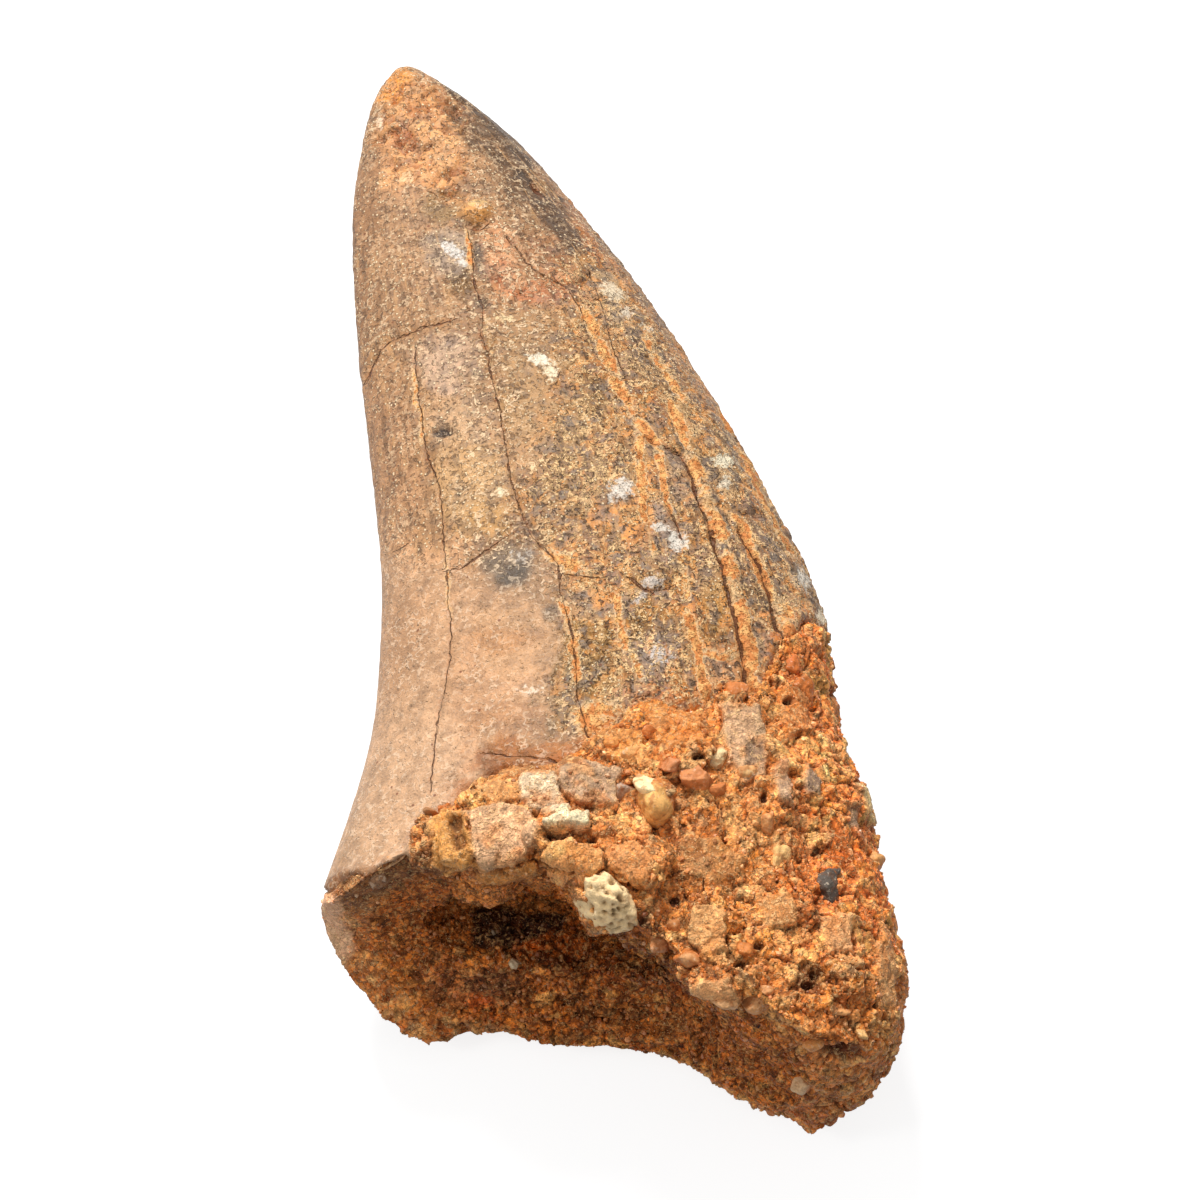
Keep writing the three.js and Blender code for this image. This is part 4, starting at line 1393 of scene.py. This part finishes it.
def crown_material():
    """Old enamel and dentine under a broken net of cream, with rust in the cracks, cream specks as painted
    highlights, and pores.
    """
    n = Nodes("crown")
    flow = n.painted("flow", "Vector")
    loose = n.warped(0.9, 0.45)
    net = n.painted("net")
    enamel = n.painted("enamel")
    streak = n.painted("streak")
    fine = n.noise(0.15, 2.0)
    soft = n.noise(1.3, 3.0)
    patchy = n.noise(0.55, 3.0, loose)
    long = n.noise(0.5, 3.0, flow)
    contrast = n.plus(n.times(net, 0.7), 0.7)
    tone = n.plus(n.times(soft, 1.2), n.times(fine, 0.9), n.times(patchy, 1.1), -1.6)
    n.colour = n.mix(n.painted("tint", "Color"), n.plus(n.times(tone, contrast), 1.0), 1.0, "MULTIPLY")
    # Glassy grey windows, stains of rust and olive, and dark between the crumbs of the enamel.
    n.lay((136, 120, 106), n.ramp(soft, 0.4, 0.47, 1.0, 0.0), net, 0.5)
    n.lay((196, 126, 64), n.ramp(patchy, 0.57, 0.66), net, 0.22)
    n.lay((122, 92, 46), n.ramp(long, 0.56, 0.64), net, 0.25)
    dark = n.ramp(n.noise(0.36, 2.0, distortion=0.9), 0.55, 0.64)
    dark = n.times(dark, n.plus(n.times(net, 0.5), n.times(enamel, 0.35), 0.12))
    n.lay((84, 60, 40), dark, 0.92)
    # Streaks along the grain of the tooth.
    n.lay((216, 164, 110), n.ramp(long, 0.57, 0.66), streak, 0.5)
    n.lay((94, 68, 44), n.ramp(long, 0.36, 0.44, 1.0, 0.0), streak, 0.65)
    # Short cream curls, a finer broken net of them, and cream specks that are painted highlights.
    curl = n.times(n.worms(0.6, 0.075), n.ramp(patchy, 0.46, 0.54), n.painted("worm"))
    twist = n.times(n.worms(0.36, 0.06, loose), n.ramp(soft, 0.52, 0.62), net)
    pale = n.math("MAXIMUM", curl, twist)
    n.lay(n.painted("vein_tint", "Color"), pale, 0.95)
    glint_speck = n.times(n.ramp(n.cells(0.4), 0.14, 0.3, 1.0, 0.0), n.ramp(long, 0.42, 0.52))
    n.lay((246, 218, 176), glint_speck, n.painted("speck"), 0.9)
    # Small red-brown pores, which show most on the bare dentine.
    pore = n.ramp(n.cells(1.5), 0.05, 0.1, 1.0, 0.0)
    n.lay((112, 58, 28), pore, 0.8)
    # White flecks and rust-coloured clay with ragged, paler edges.
    ragged = n.plus(n.times(n.noise(0.35, 3.0), 2.0), -1.0)
    fleck = n.ramp(n.plus(n.painted("fleck"), ragged), 0.35, 0.85)
    fleck = n.times(fleck, n.ramp(n.painted("fleck"), 0.02, 0.15), n.ramp(fine, 0.3, 0.5, 0.5, 0.9))
    n.lay(n.painted("fleck_tint", "Color"), fleck)
    clay_edge = n.plus(n.painted("clay"), n.times(ragged, 0.6))
    near_clay = n.ramp(n.painted("clay"), 0.05, 0.3)
    clay = n.times(n.ramp(clay_edge, 0.3, 0.55), near_clay)
    n.lay((238, 200, 148), n.ramp(clay_edge, 0.12, 0.3), near_clay, 0.6)
    clay_tone = n.mix((206, 122, 54), (240, 178, 106), n.ramp(patchy, 0.42, 0.6))
    clay_tone = n.mix(clay_tone, (132, 70, 28), n.ramp(fine, 0.56, 0.68))
    n.lay(clay_tone, clay, 0.9)
    # Cracks: a thin line that thins out and breaks up, with a brown edge.
    off = n.math("ABSOLUTE", n.plus(n.painted("crack_distance"), n.times(n.plus(patchy, -0.5), 0.3)))
    weight = n.painted("crack_weight")
    width = n.times(weight, n.ramp(soft, 0.36, 0.62, 0.0, 0.13))
    crack = n.times(n.ramp(n.math("SUBTRACT", off, width), -0.03, 0.03, 1.0, 0.0), n.ramp(weight, 0.05, 0.25))
    halo = n.times(n.ramp(off, 0.02, 0.3, 1.0, 0.0), weight, n.ramp(patchy, 0.4, 0.6), 0.8)
    n.lay((164, 96, 48), halo)
    whole = n.math("MAXIMUM", n.ramp(patchy, 0.4, 0.5, 0.25, 1.0), n.ramp(weight, 0.6, 0.9))
    n.lay((88, 48, 24), crack, whole, 0.85)
    height = n.plus(n.times(fine, 0.5), n.times(pale, 0.6), n.times(glint_speck, 0.5))
    height = n.math("SUBTRACT", height, n.plus(n.times(crack, 1.2), n.times(dark, 0.8)))
    n.bump(height, 0.15, 1.0)
    return n.finish(n.plus(n.ramp(fine, 0.3, 0.7, 0.38, 0.62), n.times(clay, 0.25)), 0.32)


def crust_material(name, shade_colour, light_colour, contrast, specular):
    """Cemented sand: crumbs of many browns with painted shade between them and in the hollows, pale curls,
    painted highlights on the ridges and painted glints here and there.
    """
    n = Nodes(name)
    loose = n.warped(0.5, 0.25)
    crumbly = n.painted("crumbly")
    fine = n.noise(0.13, 2.0)
    middling = n.noise(0.42, 3.0, distortion=0.6)
    tone = n.plus(n.times(fine, 1.1 * contrast), n.times(middling, 2.0 * contrast), 1.03 - 1.55 * contrast)
    n.colour = n.mix(n.painted("tint", "Color"), tone, 1.0, "MULTIPLY")
    # Each crumb has its own brightness, and painted shade darkens the gaps between them.
    away = n.cells(0.36, loose)
    grain = n.ramp(away.node.outputs["Color"], 0.2, 0.8, -0.26 * contrast, 0.3 * contrast)
    n.colour = n.mix(n.colour, n.plus(n.times(grain, crumbly), 1.0), 1.0, "MULTIPLY")
    gap = n.times(n.ramp(away, 0.58, 0.78), n.ramp(middling, 0.4, 0.55), crumbly)
    n.lay(shade_colour, gap, 0.65)
    worm = n.times(n.worms(0.42, 0.06, loose), n.ramp(middling, 0.46, 0.56))
    # Painted highlights on the ridges, laid on with the pale curls.
    ridge_highlight = n.times(n.painted("ridge"), n.ramp(middling, 0.42, 0.6), 0.8)
    light = n.math("MAXIMUM", n.times(worm, 0.75), ridge_highlight)
    n.lay(light_colour, light, 0.8)
    # Painted shade in the hollows.
    n.lay(shade_colour, n.painted("hollow"), 0.8)
    # Painted glints: small pale highlights here and there.
    n.lay((252, 226, 182), n.ramp(fine, 0.66, 0.74), 0.7)
    height = n.plus(n.times(fine, 0.5), n.times(middling, 1.4), n.times(gap, -0.8), n.times(worm, 0.5))
    n.bump(height, 0.15, 1.0)
    return n.finish(n.ramp(fine, 0.3, 0.7, 0.45, 0.85), specular)


def pebble_material():
    """Stones with specks and stains, fewer stains where they are clean."""
    n = Nodes("pebble")
    fine = n.noise(0.15, 2.0)
    tone = n.plus(n.times(fine, 0.7), n.times(n.noise(0.7, 4.0), 0.8), 0.25)
    n.colour = n.mix(n.painted("tint", "Color"), tone, 1.0, "MULTIPLY")
    speck = n.ramp(n.noise(0.24, 3.0, distortion=0.7), 0.6, 0.68)
    n.lay((246, 226, 194), speck, 0.35)
    stain = n.times(n.ramp(n.noise(0.6, 3.0), 0.54, 0.62), n.ramp(n.painted("clean"), 0.0, 1.0, 1.0, 0.25))
    n.lay((176, 104, 50), stain, 0.65)
    n.bump(n.plus(n.times(fine, 0.7), n.noise(0.4, 3.0)), 0.12, 0.8)
    return n.finish(n.ramp(fine, 0.3, 0.7, 0.45, 0.8), 0.35)


def grain_material():
    """Sand, each grain in its painted colour."""
    n = Nodes("grain")
    fine = n.noise(0.12, 1.0)
    n.colour = n.mix(n.painted("tint", "Color"), n.ramp(fine, 0.3, 0.7, 0.8, 1.15), 1.0, "MULTIPLY")
    return n.finish(n.ramp(fine, 0.3, 0.7, 0.3, 0.65), 0.5)


# The scene.


def make_stage():
    """A plain white table, and soft studio light from above and behind the tip."""
    mesh = bpy.data.meshes.new("table")
    corners = [(x * TABLE_HALF, y * TABLE_HALF, 0) for x, y in ((-1, -1), (1, -1), (1, 1), (-1, 1))]
    mesh.from_pydata(corners, [], [(0, 1, 2, 3)])
    table = placed("table", mesh)
    n = Nodes("table")
    n.colour = (166, 166, 166)
    n.finish(0.95, 0.05)
    n.shader.inputs["Emission Color"].default_value = (1.0, 1.0, 1.0, 1.0)
    n.shader.inputs["Emission Strength"].default_value = 0.8
    mesh.materials.append(n.material)
    table.visible_diffuse = False
    make_world()
    for name, (place, size, power) in LIGHTS.items():
        add_light(name, place, size, power)


def make_world():
    """A pale room, brighter above, which the camera itself sees as white."""
    world = bpy.data.worlds.new("studio")
    world.use_nodes = True
    tree = world.node_tree
    coordinates = tree.nodes.new("ShaderNodeTexCoord")
    split = tree.nodes.new("ShaderNodeSeparateXYZ")
    tree.links.new(coordinates.outputs["Generated"], split.inputs[0])
    strength = tree.nodes.new("ShaderNodeMapRange")
    for socket, number in zip(strength.inputs[1:], (-0.5, 0.9, 0.18, 0.52)):
        socket.default_value = number
    tree.links.new(split.outputs["Z"], strength.inputs["Value"])
    path = tree.nodes.new("ShaderNodeLightPath")
    seen = tree.nodes.new("ShaderNodeMath")
    seen.operation = "MAXIMUM"
    tree.links.new(strength.outputs["Result"], seen.inputs[0])
    tree.links.new(path.outputs["Is Camera Ray"], seen.inputs[1])
    background = tree.nodes["Background"]
    background.inputs["Color"].default_value = (1.0, 0.995, 0.99, 1.0)
    tree.links.new(seen.outputs[0], background.inputs["Strength"])
    bpy.context.scene.world = world


def add_light(name, place, size, power):
    """A square lamp that faces the tooth."""
    light = bpy.data.lights.new(name, "AREA")
    light.size = size
    light.energy = power
    lamp = placed(name, light)
    lamp.location = place
    lamp.rotation_euler = (Vector(LIGHT_AIM) - Vector(place)).to_track_quat("-Z", "Y").to_euler()


def make_camera():
    """The camera of the photograph."""
    camera = bpy.data.cameras.new("camera")
    camera.lens = LENS_MM
    camera.sensor_width = SENSOR_MM
    camera.clip_start = 0.01
    eye = placed("camera", camera)
    aim = Vector((CAMERA_AIM - PLAN_SHIFT) * MM)
    eye.location = Vector((CAMERA_PLACE - PLAN_SHIFT) * MM)
    eye.rotation_euler = (aim - eye.location).to_track_quat("-Z", "Y").to_euler()
    bpy.context.scene.camera = eye


def dress(node):
    """Makes every piece of the tooth round the solid's one node."""
    random = np.random.default_rng(SEED)
    make_crown(node, crown_material())
    sandy = crust_material("crust", (70, 33, 12), (252, 204, 142), 1.2, 0.22)
    earthy = crust_material("broken_face", (40, 16, 4), (240, 182, 116), 1.7, 0.14)
    crust, values = make_crust(node, (sandy, earthy))
    make_pebbles(crust, values["broken"] < 0.05, pebble_material(), random)
    normal = crust.normals()
    lit = ramp(crust.points[:, 2], 0.3, 0.8)
    broken = ramp(values["broken"], 0.4, 0.6)
    upward = ramp(normal[:, 2], -0.1, 0.15)
    grain = grain_material()
    for name, weight in (("sand_upper", (1 - broken) * upward), ("sand_break", broken),
                         ("sand_under", (1 - broken) * (1 - upward))):
        chance = lit * weight * values["crumbly"] * ramp(np.abs(normal[:, 2]), -0.2, 0.5)
        places, facing, under = scatter(crust, values["tint"], GRAINS_A_REGION, chance, random)
        make_grains(name, places, facing, under, random, grain)


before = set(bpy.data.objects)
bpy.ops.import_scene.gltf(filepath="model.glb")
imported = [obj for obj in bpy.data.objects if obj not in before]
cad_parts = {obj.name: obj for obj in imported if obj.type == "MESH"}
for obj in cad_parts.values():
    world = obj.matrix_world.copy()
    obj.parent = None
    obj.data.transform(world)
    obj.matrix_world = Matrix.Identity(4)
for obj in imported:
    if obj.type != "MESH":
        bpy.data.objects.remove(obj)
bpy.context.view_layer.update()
dress(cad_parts["tooth"])
make_stage()
make_camera()
bpy.context.scene.view_settings.view_transform = "Standard"
